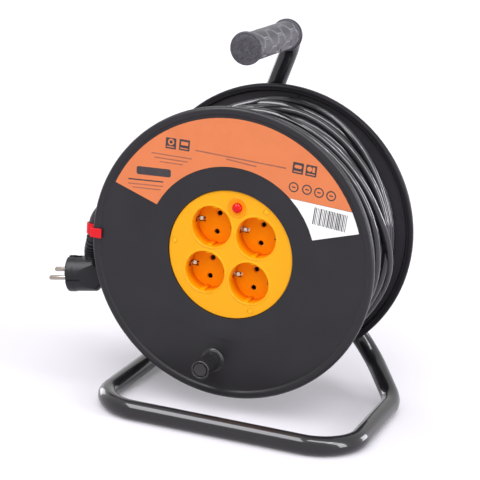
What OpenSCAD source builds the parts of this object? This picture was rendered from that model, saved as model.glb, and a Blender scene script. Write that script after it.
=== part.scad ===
// Extension cord reel: a drum with four earthed sockets turns on an axle
// that stands on one bent steel tube. The drum's axis runs along Y, the
// socket side faces -Y, and the tube stands on Z = 0.

/* [Drum] */
// Diameter of both drum flanges
flange_d = 290; // [270:1:300]
// Thickness of a flange disc
flange_t = 2.6; // [2:0.1:3.4]
// Width of the rolled rim along the axis
rim_w = 8.5; // [7:0.1:10]
// Height of the rolled rim along the radius
rim_h = 8; // [6:0.1:9]
// How far the rolled rim stands in front of the flange disc
rim_proud = 1.2; // [0.8:0.1:1.6]
// Clear width between the two flanges
drum_gap = 131; // [126:1:134]
// Diameter of the barrel that carries the cable
barrel_d = 176; // [172:1:178]
// Wall of the barrel
barrel_wall = 2.5; // [2:0.1:3]
// Radius of the fine groove round the front flange
groove_r = 86; // [84:0.5:88]
// Turn of the whole drum at rest, clockwise from the front
drum_turn = 5.5; // [0:0.5:10]

/* [Axle] */
// Height of the drum's axis above the ground
axle_h = 162.4; // [160:0.1:175]
// Outside diameter of the axle sleeve
axle_d = 20; // [18:0.5:22]
// Radial running clearance of the drum on the sleeve
axle_gap = 0.05; // [0.02:0.01:0.1]
// Wall of the hub round the axle sleeve
hub_wall = 8; // [6:0.5:10]
// Length of the hub
hub_l = 44; // [36:1:50]
// Diameter of the axle bolt
bolt_d = 10; // [8:1:12]
// Width across flats of the bolt head and nut
bolt_flats = 17; // [16:1:19]
// Height of the bolt head and of the nut
bolt_head_h = 6.4; // [5:0.1:8]
// Diameter of the washer that keeps the drum on
keeper_d = 34; // [32:1:36]
// Thickness of the washers
washer_t = 2; // [1.5:0.1:2.5]

/* [Stand tube] */
// Outside diameter of the stand tube
tube_d = 19; // [18:0.5:21]
// Wall of the stand tube
tube_wall = 1.5; // [1.2:0.1:2]
// Left side of the ground loop from the axis
loop_left = 111; // [105:1:125]
// Right side of the ground loop from the axis
loop_right = 149.5; // [146:0.5:156]
// Front of the ground loop in front of the flange
loop_front = 57.6; // [52:0.2:70]
// Bend radius of the ground loop's front corners
loop_bend = 44; // [30:1:50]
// Bend radius where the post rises
foot_bend = 34; // [28:1:40]
// Bend radius of the two bends where the leg rises
leg_bend = 45; // [40:1:70]
// Sideways run of the leg for one unit of height
leg_lean = 0.845; // [0.83:0.005:0.86]
// Sideways run of the post for one unit of height
post_lean = 0.322; // [0.31:0.002:0.33]
// Gap between the rear rim and the tube
stand_gap = 2.8; // [2.5:0.1:5]

/* [Handle] */
// Sideways place of the grip from the axis
grip_x = 3; // [-3:0.5:6]
// Height of the grip's centre above the axis at its back end
grip_h = 196.4; // [192:0.2:205]
// Rise of the grip towards its front end, in degrees
grip_rise = 2.2; // [0:0.1:4]
// Bend radius between the post and the grip
grip_bend = 27; // [24:1:30]
// Length of the grip over both end discs
grip_l = 121; // [105:1:125]
// Diameter of the rubber sleeve
grip_d = 28; // [26:0.5:30]
// Diameter of the grip's two end discs
grip_disc_d = 32; // [31:0.5:36]
// Thickness of the back end disc
grip_disc_t = 3.6; // [3:0.1:5]
// Thickness of the front end cap
grip_cap_t = 3; // [2.5:0.1:4]

/* [Sockets] */
// Diameter of the socket plate
plate_d = 127.2; // [126:0.1:129]
// Thickness of the socket plate
plate_t = 3; // [2.5:0.1:3.5]
// Depth of the plate's face behind the flange face
plate_in = 1.8; // [1:0.1:2.5]
// Distance between two neighbouring sockets
socket_pitch = 46; // [46:0.1:48]
// Diameter of a socket recess
recess_d = 40.6; // [40:0.1:41]
// Depth of a socket recess
recess_depth = 17.5; // [16.5:0.1:18.5]
// Wall of a socket cup
cup_wall = 1.9; // [1.5:0.1:2.1]
// Distance between the two pin holes of a socket
pin_pitch = 19; // [18.9:0.05:19.1]
// Diameter of a pin hole
pin_hole_d = 5.5; // [5.2:0.1:5.8]
// Radius of the circle of three plate screws
plate_screw_r = 58.5; // [57:0.1:59]
// Diameter of the plate screws
plate_screw_d = 3; // [2.5:0.1:3.5]
// Diameter of a round cover over a plate screw
cover_d = 5.6; // [5:0.1:6]

/* [Reset button] */
// Distance of the reset button from the axis
button_r = 48; // [47:0.1:49]
// Diameter of the reset button
button_d = 9.6; // [9:0.1:10]
// How far the button stands in front of the plate
button_out = 4.6; // [4:0.1:6]
// Travel of the button
button_travel = 2.5; // [1.5:0.1:3]
// Radial clearance round the button
button_gap = 0.2; // [0.1:0.05:0.3]

/* [Winding knob] */
// Distance of the winding knob from the axis
knob_r = 109.4; // [105:0.1:114]
// Diameter of the winding knob
knob_d = 18.4; // [17:0.1:20]
// Length of the turning knob
knob_l = 29; // [26:0.5:34]
// Diameter of the knob's spindle
spindle_d = 6; // [5:0.5:7]
// Radial running clearance of the knob on its spindle
spindle_gap = 0.05; // [0.02:0.01:0.1]
// Diameter of the lower step of the knob's base
knob_base_d = 21.2; // [20.5:0.1:23]
// Height of each step of the knob's base
knob_step_h = 2.1; // [1.6:0.1:2.6]

/* [Cable] */
// Diameter of the cable
cable_d = 8.4; // [8:0.1:8.6]
// Loops in the outer layer
cable_loops = 9.75; // [7.75:1:9.75]
// Radius of the outer layer's middle line
wind_r = 126.4; // [125:0.1:127]
// Sideways wander of the outer loops
wind_wave = 0.55; // [0:0.05:0.6]
// Distance of the rearmost loop from the rear flange
wind_rear = 5.5; // [5:0.1:7]
// Distance of the foremost loop from the front flange
wind_front = 21.5; // [21:0.1:23]
// Distance of the clip's ring from the front flange
tail_front = 10.2; // [10:0.1:11]

/* [Cable clip] */
// Angle of the clip at rest, clockwise from the top
clip_angle = -89.8; // [-93:0.1:-87]
// Width of the clip along the rim
clip_w = 9.6; // [8:0.1:12]
// Thickness of the clip's walls
clip_t = 1.5; // [1.2:0.1:1.8]
// Clearance between the clip and the rim
clip_gap = 0.15; // [0.1:0.05:0.3]
// Depth of the clip's front plate along the radius
clip_depth = 12; // [10:0.1:14]
// Height of the clip's cable ring
ring_h = 11; // [9:0.1:12]
// Distance of the cable ring's axis from the drum's axis
ring_r = 150.8; // [150:0.1:153]
// Clearance between the ring and the cable
ring_gap = 0.4; // [0.3:0.05:0.5]

/* [Label] */
// Outer radius of the label
label_out = 134.3; // [130:0.1:135]
// Inner radius of the label
label_in = 87.2; // [87:0.1:92]
// Thickness of the label
label_t = 0.3; // [0.2:0.05:0.4]

/* [Plug] */
// Diameter of the plug's pins
plug_pin_d = 4.8; // [4.7:0.05:4.9]
// Length of the plug's pins
plug_pin_l = 19; // [18.5:0.1:19.5]
// Diameter of the plug's face
plug_face_d = 37; // [36:0.5:38]
// Depth of the plug behind its face
plug_depth = 36; // [34:0.5:38]
// Distance of the cable's entry behind the plug's face
plug_entry = 25.5; // [23:0.5:26.5]

/* [Hidden] */

$fn = 72;
eps = 0.01;
hair = 0.02;

// Radii
flange_r = flange_d / 2;
barrel_r = barrel_d / 2;
plate_r = plate_d / 2;
tube_r = tube_d / 2;
cable_r = cable_d / 2;
recess_r = recess_d / 2;
cup_r = recess_r + cup_wall;
knob_rad = knob_d / 2;
ring_in = cable_r + ring_gap;
ring_out = ring_in + clip_t;

// Places along the axis, from the front flange's face towards the back
gap_front = flange_t;
gap_rear = flange_t + drum_gap;
face_rear = gap_rear + flange_t;
middle_y = face_rear / 2;
rim_rear = face_rear + rim_proud;
tube_y = rim_rear + stand_gap + tube_r;
bracket_y = face_rear + 1.5;
hub_end = bracket_y - 1;
hub_start = hub_end - hub_l;
sleeve_start = hub_start - 0.3;
keeper_start = sleeve_start - washer_t;
nut_start = keeper_start - bolt_head_h;
saddle_end = tube_y + tube_r + 2;
head_end = saddle_end + bolt_head_h;

// Plate and recess levels
plate_back = plate_in + plate_t;
floor_y = plate_in + recess_depth;
cup_back = floor_y + 2;
earth_y = cup_back + 0.1;
phase_y = earth_y + 4;
neutral_y = phase_y + 4;

// Knob levels
knob_start = -2 * knob_step_h - 0.3;
knob_end = knob_start - knob_l;
spindle_head = knob_end + 5.2;
// Heads at the spindle's ends, the rear one sunk into the flange
rivet_r = spindle_d / 2 + 1.8;
rivet_t = 1.3;

// Clip levels
rim_front = -rim_proud;
rim_back = rim_front + rim_w;
ring_y = gap_front + tail_front;
clip_front = rim_front - clip_gap - clip_t;
clip_back = rim_back + clip_gap + clip_t;
clip_out = ring_r + ring_out;

// Ground loop
ground_z = -axle_h + tube_r;
post_foot = -loop_left;
post_top = post_foot + post_lean * (grip_h - ground_z);
// Height at which the leg's middle line meets the post's
weld_z = (post_lean * ground_z - post_foot) / (leg_lean + post_lean);
// Corner where the leg leaves its plane, and where the ground loop's side starts
leg_corner = [-leg_lean * (ground_z + 24), tube_y, ground_z + 24];
side_corner = [loop_right, tube_y - 56, ground_z];
weld_x = -leg_lean * weld_z;
grip_dir = [0, -cos(grip_rise), sin(grip_rise)];
grip_back_y = tube_y - grip_bend - 1;
grip_base = [grip_x, grip_back_y, grip_h + 0.04 * grip_bend];

// Centre of the whole object over the origin
left_end = max(clip_out, loop_left + tube_r);
right_end = max(flange_r, loop_right + tube_r);
front_end = loop_front + tube_r;
axis_x = (left_end - right_end) / 2;
face_y = (front_end - head_end) / 2;

// Plug: centre of its face, and its turns about X and Y
plug_at = [-181.8, 30, -57.4];
plug_turn = [10.8, -7.6, 7.6];

// ---------- small tools ----------

module seat() { translate([axis_x, face_y, axle_h]) children(); }
module on_drum(a = 0) { seat() rotate([0, drum_turn + a, 0]) children(); }
// Turns what is drawn along +Z to run along +Y
module along_y() { rotate([-90, 0, 0]) children(); }
module disc_y(r, y0, y1) { translate([0, y0, 0]) along_y() cylinder(r = r, h = y1 - y0); }
module ring_y_(ro, ri, y0, y1) {
    difference() {
        disc_y(ro, y0, y1);
        disc_y(ri, y0 - 1, y1 + 1);
    }
}
module hex_y(flats, y0, y1) {
    translate([0, y0, 0]) along_y() cylinder(r = flats / 2 / cos(30), h = y1 - y0, $fn = 6);
}

function unit(v) = v / norm(v);

// A straight round bar from a to b
module bar(a, b, r) {
    d = b - a;
    h = norm(d);
    polar = acos(d[2] / h);
    spin = (abs(d[0]) + abs(d[1]) < 1e-9) ? 0 : atan2(d[1], d[0]);
    translate(a) rotate([0, polar, spin]) cylinder(r = r, h = h);
}

// The elbow at p between the points a and b, with the bend's radius, outer radius
// and bore radius
module elbow(a, p, b, bend, r, bore) {
    d1 = unit(p - a);
    d2 = unit(b - p);
    turn = acos(d1 * d2);
    n = unit(d2 - (d1 * d2) * d1);
    c = p - bend * tan(turn / 2) * d1 + bend * n;
    e3 = cross(-n, d1);
    multmatrix([
        [-n[0], d1[0], e3[0], c[0]],
        [-n[1], d1[1], e3[1], c[1]],
        [-n[2], d1[2], e3[2], c[2]],
        [0, 0, 0, 1]])
        rotate_extrude(angle = turn) translate([bend, 0]) difference() {
            circle(r = r);
            circle(r = bore);
        }
}

function cut_back(a, p, b, bend) = bend * tan(acos(unit(p - a) * unit(b - p)) / 2);

// A closed tube through rings of points: pts is the middle line, rad the radii
function frame_of(t, up) = let (s = unit(cross(t, up))) [s, cross(s, t)];
function tangent(p, i) = let (n = len(p) - 1)
    unit(p[min(i + 1, n)] - p[max(i - 1, 0)]);
function ring_points(c, f, r, sides) = [for (k = [0 : sides - 1])
    c + r * (cos(360 * k / sides) * f[0] + sin(360 * k / sides) * f[1])];
module sweep(p, rad, up, sides, first = undef, final = undef) {
    n = len(p);
    tans = [for (i = [0 : n - 1])
        (i == 0 && first != undef) ? unit(first)
        : (i == n - 1 && final != undef) ? unit(final) : tangent(p, i)];
    pts = [for (i = [0 : n - 1])
        each ring_points(p[i], frame_of(tans[i], up[i]), rad[i], sides)];
    walls = [for (i = [0 : n - 2]) for (k = [0 : sides - 1]) let (
        a = i * sides + k,
        b = i * sides + (k + 1) % sides)
        each [[a, b, b + sides], [a, b + sides, a + sides]]];
    cap0 = [for (k = [1 : sides - 2]) [0, k + 1, k]];
    cap1 = [for (k = [1 : sides - 2]) let (q = (n - 1) * sides) [q, q + k, q + k + 1]];
    polyhedron(points = pts, faces = concat(walls, cap0, cap1));
}

// ---------- stand ----------

tube_path = [
    grip_base + (grip_l - grip_cap_t) * grip_dir,
    [post_top, tube_y, grip_h],
    [post_foot, tube_y, ground_z],
    [post_foot, -loop_front, ground_z],
    [loop_right, -loop_front, ground_z],
    side_corner,
    leg_corner,
    [weld_x, tube_y, weld_z]];
tube_bends = [grip_bend, foot_bend, loop_bend, loop_bend, leg_bend, leg_bend];

// One straight piece of the tube with its bore, a hair thinner than the bends
// and reaching into them
module tube_piece(a, b) {
    d = unit(b - a);
    difference() {
        bar(a - 0.4 * d, b + 0.4 * d, tube_r - hair);
        bar(a - d, b + d, tube_r - tube_wall + hair);
    }
}

module frame_tube() {
    n = len(tube_path) - 1;
    back = concat([0], [for (i = [1 : n - 1])
        cut_back(tube_path[i - 1], tube_path[i], tube_path[i + 1], tube_bends[i - 1])], [0]);
    runs = [for (i = [0 : n - 1]) unit(tube_path[i + 1] - tube_path[i])];
    color("#17171a") seat() {
        for (i = [0 : n - 2])
            tube_piece(tube_path[i] + back[i] * runs[i], tube_path[i + 1] - back[i + 1] * runs[i]);
        for (i = [1 : n - 1])
            elbow(tube_path[i - 1], tube_path[i], tube_path[i + 1], tube_bends[i - 1], tube_r,
                tube_r - tube_wall);
        // Leg, welded to the side of the post
        difference() {
            tube_piece(tube_path[n - 1] + back[n - 1] * runs[n - 1], tube_path[n]);
            bar(tube_path[1] + 90 * runs[1], tube_path[1] + 240 * runs[1],
                tube_r - tube_wall / 2);
            disc_y(bolt_d / 2 + 0.2, tube_y - 2 * tube_r, tube_y + 2 * tube_r);
        }
    }
}

// Draws along the grip: Z runs to the grip's front end
module on_grip() {
    g0 = tube_path[0] - (grip_l - grip_cap_t) * grip_run;
    seat() translate(g0) rotate([0, acos(grip_run[2]), atan2(grip_run[1], grip_run[0])])
        children();
}
grip_run = unit(tube_path[0] - tube_path[1]);

module handle_grip() {
    color("#5a5861") on_grip() difference() {
        union() {
            cylinder(r = grip_disc_d / 2 - 0.8, h = 1);
            translate([0, 0, 0.8]) cylinder(r = grip_disc_d / 2, h = grip_disc_t - 0.8);
            cylinder(r = grip_d / 2, h = grip_l - grip_cap_t);
        }
        translate([0, 0, -1]) cylinder(r = tube_r + 0.02, h = grip_l + 2);
    }
}

module grip_end_cap() {
    color("#5a5861") on_grip() translate([0, 0, grip_l - grip_cap_t]) {
        cylinder(r = grip_disc_d / 2, h = grip_cap_t - 0.8);
        translate([0, 0, grip_cap_t - 0.8])
            cylinder(r1 = grip_disc_d / 2, r2 = grip_disc_d / 2 - 0.8, h = 0.8);
        translate([0, 0, -12]) cylinder(r = tube_r - tube_wall - 0.05, h = 12.5);
    }
}

module saddle_block(y0, y1, w, l) {
    rotate([0, -atan(leg_lean), 0]) difference() {
        translate([-w / 2, y0, -l / 2]) cube([w, y1 - y0, l]);
        translate([0, tube_y, -l]) cylinder(r = tube_r + 0.02, h = 2 * l);
        disc_y(bolt_d / 2 + 0.2, y0 - 1, y1 + 1);
    }
}

module axle_bracket() {
    color("#6e7075") seat() saddle_block(bracket_y, tube_y - 2, 26, 48);
}

module rear_saddle() {
    color("#6e7075") seat() saddle_block(tube_y + 4, saddle_end, 22, 30);
}

module axle_sleeve() {
    color("#9a9ca0") seat() ring_y_(axle_d / 2, bolt_d / 2 + 0.2, sleeve_start, bracket_y);
}

module axle_bolt() {
    color("#b9bbbf") seat() {
        disc_y(bolt_d / 2, nut_start - 3, saddle_end);
        hex_y(bolt_flats, saddle_end, head_end);
    }
}

module keeper_washer() {
    color("#b9bbbf") seat() ring_y_(keeper_d / 2, bolt_d / 2 + 0.2, keeper_start, sleeve_start);
}

module axle_nut() {
    color("#b9bbbf") seat() difference() {
        hex_y(bolt_flats, nut_start, keeper_start);
        disc_y(bolt_d / 2 + 0.02, nut_start - 1, keeper_start + 1);
    }
}

module thrust_washer() {
    color("#d8d6cf") seat()
        ring_y_(axle_d / 2 + hub_wall, axle_d / 2 + 0.1, hub_end + 0.1, bracket_y);
}

// ---------- drum ----------

// Outline of a flange with its rim, drawn for rotate_extrude: X is the
// radius and Y runs from the outer face towards the cable
module flange_section(r_in) {
    bead = 3.2;
    translate([r_in, 0]) square([flange_r - rim_h + 1 - r_in, flange_t]);
    translate([flange_r - bead, rim_w - rim_proud - bead]) circle(r = bead, $fn = 48);
    translate([flange_r - bead, bead - rim_proud]) circle(r = bead, $fn = 48);
    translate([flange_r - bead, bead - rim_proud]) square([bead, rim_w - 2 * bead]);
    polygon([
        [flange_r - rim_h, 0],
        [flange_r - rim_h + 2.4, -rim_proud],
        [flange_r - bead, -rim_proud],
        [flange_r - bead, rim_w - rim_proud],
        [flange_r - rim_h + 2.4, rim_w - rim_proud],
        [flange_r - rim_h, flange_t]]);
}

boss_r = 76;
boss_angles = [20, 110, 200, 290];
boss_split = gap_rear - 14;

module front_flange() {
    color("#3c3b3e") on_drum() difference() {
        union() {
            along_y() rotate_extrude($fn = 144) flange_section(plate_r + 0.4);
            ring_y_(barrel_r, barrel_r - barrel_wall, eps, middle_y);
            ring_y_(plate_r + 3, plate_r + 0.4, eps, plate_back + 3);
            ring_y_(plate_r + 3, plate_r - 4.5, plate_back, plate_back + 3);
            for (a = [30, 150, 270]) rotate([0, a, 0])
                translate([0, 0, plate_screw_r]) disc_y(4.4, plate_back, plate_back + 14);
            for (a = boss_angles) rotate([0, a, 0])
                translate([0, 0, boss_r]) disc_y(4.5, eps, boss_split);
            translate([0, 0, -knob_r]) {
                disc_y(knob_base_d / 2, -knob_step_h, eps);
                disc_y(knob_base_d / 2 - 0.8, -2 * knob_step_h, 0);
            }
        }
        for (a = [30, 150, 270]) rotate([0, a, 0])
            translate([0, 0, plate_screw_r]) disc_y(plate_screw_d / 2 + 0.02, 0, plate_back + 12);
        for (a = boss_angles) rotate([0, a, 0])
            translate([0, 0, boss_r]) disc_y(2.02, boss_split - 14, boss_split + 1);
        translate([0, 0, -knob_r]) {
            disc_y(spindle_d / 2 + 0.02, -10, flange_t + 1);
            disc_y(rivet_r + 0.1, flange_t - rivet_t - 0.1, flange_t + 1);
        }
        along_y() rotate_extrude($fn = 144)
            translate([groove_r, -0.5]) square([0.9, 1]);
    }
}

module rear_flange() {
    color("#3c3b3e") on_drum() difference() {
        union() {
            translate([0, face_rear, 0]) rotate([90, 0, 0]) rotate_extrude($fn = 144)
                flange_section(axle_d / 2 + hub_wall - 1);
            ring_y_(barrel_r, barrel_r - barrel_wall, middle_y + 0.1, gap_rear + 1);
            disc_y(axle_d / 2 + hub_wall, hub_start, hub_end);
            for (a = boss_angles) rotate([0, a, 0])
                translate([0, 0, boss_r]) disc_y(5.5, boss_split + 0.1, gap_rear + 1);
            for (a = [65 : 90 : 335]) rotate([0, a, 0])
                translate([-1.2, gap_rear - 26, axle_d / 2 + 2])
                    cube([2.4, 26.5, barrel_r - barrel_wall / 2 - axle_d / 2 - 2]);
        }
        disc_y(axle_d / 2 + axle_gap, hub_start - 1, hub_end + 1);
        for (a = boss_angles) rotate([0, a, 0]) translate([0, 0, boss_r]) {
            disc_y(2.3, boss_split - 1, face_rear + 2);
            disc_y(4.4, face_rear - 3.4, face_rear + 2);
        }
        translate([0, face_rear, 0]) rotate([90, 0, 0]) rotate_extrude($fn = 144)
            translate([groove_r, -0.5]) square([0.9, 1]);
    }
}

module flange_screws() {
    color("#b9bbbf") on_drum() for (a = boss_angles) rotate([0, a, 0])
        translate([0, 0, boss_r]) difference() {
            union() {
                disc_y(2, boss_split - 12, face_rear - 3);
                disc_y(4, face_rear - 3.4, face_rear - 0.6);
            }
            translate([-0.5, face_rear - 1.8, -3]) cube([1, 2, 6]);
            translate([-3, face_rear - 1.8, -0.5]) cube([6, 2, 1]);
        }
}

// ---------- sockets ----------

socket_places = [for (z = [1, -1]) for (x = [-1, 1])
    [x * socket_pitch / 2, 0, z * socket_pitch / 2]];
prong_r = recess_r - 3.2;

module socket_plate() {
    color("#feb823") on_drum() difference() {
        union() {
            disc_y(plate_r, plate_in + 0.8, plate_back);
            translate([0, plate_in, 0]) along_y()
                cylinder(r1 = plate_r - 0.8, r2 = plate_r, h = 0.81);
            for (p = socket_places) translate(p) {
                disc_y(cup_r, plate_back - 1, cup_back);
                translate([0, plate_in - 0.5, 0]) along_y()
                    cylinder(r1 = recess_r + 1.2, r2 = recess_r + 1.8, h = 0.6);
            }
            translate([0, plate_in - 1.2, button_r]) along_y()
                cylinder(r1 = button_d / 2 + 2.4, r2 = button_d / 2 + 4, h = 1.3);
        }
        for (p = socket_places) translate(p) {
            disc_y(recess_r, plate_in - 2, floor_y);
            translate([0, plate_in - 0.51, 0]) along_y()
                cylinder(r1 = recess_r + 0.7, r2 = recess_r - 0.1, h = 0.8);
            for (s = [1, -1]) {
                translate([0, 0, s * pin_pitch / 2])
                    disc_y(pin_hole_d / 2, floor_y - 1, cup_back + 1);
                // Pocket of an earth prong, open towards the recess
                translate([s * (prong_r + 1.6) - 2, plate_in + 4, -3.2])
                    cube([4, cup_back - plate_in, 6.4]);
            }
        }
        translate([0, 0, button_r]) disc_y(button_d / 2 + 1.6, plate_in - 3, plate_back + 1);
        for (a = [30, 150, 270]) rotate([0, a, 0]) translate([0, 0, plate_screw_r]) {
            disc_y(plate_screw_d / 2 + 0.15, plate_in - 1, plate_back + 1);
            disc_y(cover_d / 2 + 0.05, plate_in - 1, plate_in + 2.1);
        }
    }
    // Guide ribs of the recesses
    color("#feb823") on_drum() for (p = socket_places) translate(p) for (s = [1, -1])
        translate([-2.2, plate_in + 1.5, s > 0 ? recess_r - 1.6 : -recess_r - 0.3])
            cube([4.4, recess_depth - 1.5 + 0.5, 1.9]);
}

module plate_screws() {
    color("#b9bbbf") on_drum() for (a = [30, 150, 270]) rotate([0, a, 0])
        translate([0, 0, plate_screw_r]) {
            disc_y(plate_screw_d / 2, plate_in + 1.2, plate_back + 11);
            disc_y(cover_d / 2 - 0.15, plate_in + 0.9, plate_in + 2.1);
        }
}

module screw_covers() {
    color("#f5ad1c") on_drum() for (a = [30, 150, 270]) rotate([0, a, 0])
        translate([0, 0, plate_screw_r]) disc_y(cover_d / 2, plate_in + 0.1, plate_in + 0.9);
}

// Strip with eight spring prongs that reach into the recesses
module earth_bus() {
    bar_l = socket_pitch + 2 * prong_r + 2;
    color("#c9c6bd") on_drum() {
        for (z = [1, -1])
            translate([-bar_l / 2, earth_y, z * socket_pitch / 2 - 2.5]) cube([bar_l, 1, 5]);
        translate([-2.5, earth_y, -socket_pitch / 2]) cube([5, 1, socket_pitch]);
        for (p = socket_places) translate(p) for (s = [0, 180]) rotate([0, s, 0])
            translate([0, 0, -2.2]) linear_extrude(height = 4.4) polygon([
                [prong_r + 0.2, earth_y + 0.5],
                [prong_r + 0.2, floor_y - 2],
                [prong_r - 1.3, floor_y - 7],
                [prong_r + 0.4, floor_y - 11.5],
                [prong_r + 1.1, floor_y - 11.2],
                [prong_r - 0.4, floor_y - 7],
                [prong_r + 1, floor_y - 2.1],
                [prong_r + 1, earth_y + 0.5]]);
    }
}

// Strip with four contact sleeves, side = 1 for the upper pin holes
module pin_bus(side, y) {
    half = socket_pitch / 2;
    difference() {
        union() {
            for (z = [1, -1]) translate([-half - 3, y, z * half + side * pin_pitch / 2 - 3])
                cube([socket_pitch + 6, 0.8, 6]);
            translate([-side * 6 - 2, y, side * pin_pitch / 2 - half])
                cube([4, 0.8, socket_pitch]);
            for (p = socket_places) translate(p + [0, 0, side * pin_pitch / 2])
                disc_y(3.3, cup_back + 0.1, cup_back + 12);
        }
        for (p = socket_places) translate(p + [0, 0, side * pin_pitch / 2])
            disc_y(2.45, cup_back - 1, cup_back + 13);
    }
}

module phase_bus() { color("#c8a24a") on_drum() pin_bus(1, phase_y); }
module neutral_bus() { color("#c8a24a") on_drum() pin_bus(-1, neutral_y); }

module cutout_body() {
    color("#2a2a2c") on_drum() difference() {
        union() {
            translate([-7, plate_back + 0.1, button_r - 7]) cube([14, 28, 15]);
            translate([0, 0, button_r])
                disc_y(button_d / 2 + 1.4, plate_in + 0.6, plate_back + 0.2);
        }
        translate([0, 0, button_r]) disc_y(button_d / 2 + button_gap, plate_in - 1, plate_back + 14);
    }
}

module reset_button() {
    top = plate_in - button_out;
    color("#e6202a") on_drum() translate([0, 0, button_r]) {
        disc_y(button_d / 2, top + 1.6, plate_back + 9);
        translate([0, top, 0]) along_y()
            cylinder(r1 = button_d / 2 - 1.6, r2 = button_d / 2, h = 1.6);
    }
}

// ---------- winding knob ----------

module at_knob() { on_drum() translate([0, 0, -knob_r]) children(); }

module knob_spindle() {
    color("#b9bbbf") at_knob() {
        disc_y(spindle_d / 2, spindle_head - 0.1, flange_t - 0.1);
        disc_y(rivet_r, spindle_head - 2.2, spindle_head);
        disc_y(rivet_r, flange_t - rivet_t, flange_t - 0.1);
    }
}

module crank_knob() {
    color("#3c3b3e") at_knob() difference() {
        union() {
            disc_y(knob_rad, knob_end + 0.8, knob_start);
            translate([0, knob_end, 0]) along_y()
                cylinder(r1 = knob_rad - 0.8, r2 = knob_rad, h = 0.81);
        }
        disc_y(spindle_d / 2 + spindle_gap, knob_end - 1, knob_start + 1);
        disc_y(rivet_r + 0.3, knob_end + 2.3, spindle_head + 0.3);
        disc_y(knob_rad - 1.9, knob_end - 1, knob_end + 2.4);
    }
}

module knob_cap() {
    color("#3c3b3e") at_knob() {
        disc_y(knob_rad - 2.5, knob_end + 0.3, knob_end + 1.4);
        disc_y(knob_rad - 1.92, knob_end + 1.2, knob_end + 2.3);
    }
}

// ---------- labels ----------

// A sector of the flange's face between two edges, each given by the
// angles of its inner and its outer end
module label_sector(inner0, outer0, inner1, outer1) {
    steps = ceil((outer1 - outer0) / 3);
    along_y() linear_extrude(height = label_t) polygon(concat(
        [for (i = [0 : steps]) let (a = inner0 + (inner1 - inner0) * i / steps)
            label_in * [sin(a), -cos(a)]],
        [for (i = [steps : -1 : 0]) let (a = outer0 + (outer1 - outer0) * i / steps)
            label_out * [sin(a), -cos(a)]]));
}

module label_orange() {
    color("#ec8b61") seat() translate([0, -label_t, 0])
        label_sector(-63.4, -65.9, 41, 62.5);
}

module label_white() {
    color("#fafafa") seat() translate([0, -label_t, 0])
        label_sector(41.2, 62.7, 70.9, 71.8);
}

// ---------- cable clip ----------

module cable_clip() {
    rim_out = flange_r + clip_gap;
    depth_in = rim_out + clip_t - clip_depth;
    color("#e81c2c") on_drum(clip_angle - drum_turn) {
        difference() {
            translate([-clip_w / 2, clip_front, depth_in])
                cube([clip_w, clip_back - clip_front, clip_depth]);
            translate([-clip_w, rim_front - clip_gap, depth_in - 1])
                cube([2 * clip_w, rim_w + 2 * clip_gap, rim_out - depth_in + 1]);
        }
        difference() {
            union() {
                translate([-ring_h / 2, ring_y, ring_r]) rotate([0, 90, 0])
                    cylinder(r = ring_out, h = ring_h);
                translate([-clip_w / 2, rim_back + clip_gap, depth_in + 6])
                    cube([clip_w, clip_t, ring_r - depth_in - 6]);
            }
            translate([-ring_h, ring_y, ring_r]) rotate([0, 90, 0])
                cylinder(r = ring_in, h = 2 * ring_h);
            // Mouth of the ring, towards the back
            translate([-ring_h, ring_y, ring_r - 2]) cube([2 * ring_h, ring_out + 1, 5.5]);
        }
    }
}

// ---------- cable ----------

// Free end, written as if the clip stood at the drum's left: straight off the
// winding, over a bend that starts inside the clip's ring, and straight down
tail_bend = 30;
tail_low = 2;
tail_lean = atan2(tail_low, ring_r - tail_bend)
    + acos((wind_r - tail_bend) / norm([ring_r - tail_bend, tail_low]));

// Outer layer, seen from the front it runs anticlockwise from the rear to the
// front
leave_angle = clip_angle + tail_lean - drum_turn;
wind_turn = 360 * cable_loops;
wind_y0 = gap_rear - wind_rear;
wind_y1 = gap_front + wind_front;
function wander(a) = wind_wave * sin(1.31 * a) * min(1, (wind_turn - a) / 90);
function wind_y(a) = wind_y0 - (wind_y0 - wind_y1) * a / wind_turn + wander(a);
function wind_point(a) = let (q = leave_angle + wind_turn - a)
    [wind_r * sin(q), wind_y(a), wind_r * cos(q)];
wind_rings = 24 * cable_loops;

// Lead-in: the layer rises out of a pocket in the layers below, first
// straight along the radius and then over a bend
rise_bend = 25;
rise_angle = leave_angle + wind_turn;
rise_out = [sin(rise_angle), 0, cos(rise_angle)];
rise_along = [-cos(rise_angle), 0, sin(rise_angle)];
rise_mid = wind_point(0) - rise_bend * rise_out;
rise_line = concat(
    [for (s = [cable_d, cable_d / 2]) rise_mid - rise_bend * rise_along - s * rise_out],
    [for (a = [0 : 15 : 75]) rise_mid
        + rise_bend * (sin(a) * rise_out - cos(a) * rise_along)]);
rise_up = concat([for (i = [0, 1]) -rise_along],
    [for (a = [0 : 15 : 75]) sin(a) * rise_out - cos(a) * rise_along]);
rise_floor = wind_r - rise_bend - cable_d;
wind_line = concat(rise_line,
    [for (i = [0 : wind_rings]) wind_point(wind_turn * i / wind_rings)]);
wind_up = concat(rise_up,
    [for (i = [0 : wind_rings]) let (p = wind_point(wind_turn * i / wind_rings)) [p[0], 0, p[2]]]);
leave_dir = [-cos(leave_angle), 0, sin(leave_angle)];

module cable_core() {
    color("#2b2b30") on_drum() difference() {
        ring_y_(wind_r - cable_r - 1.7, barrel_r + 0.1, gap_front + 0.1, gap_rear - 0.1);
        rotate([0, rise_angle, 0])
            translate([3, wind_y(0) - cable_r - 0.5, rise_floor])
            cube([rise_bend + cable_r - 2.5, cable_d + 1, 60]);
    }
}

module cable_turns() {
    color("#2b2b30") on_drum() sweep(wind_line, [for (p = wind_line) cable_r], wind_up, 6,
        rise_out, leave_dir);
}

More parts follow.
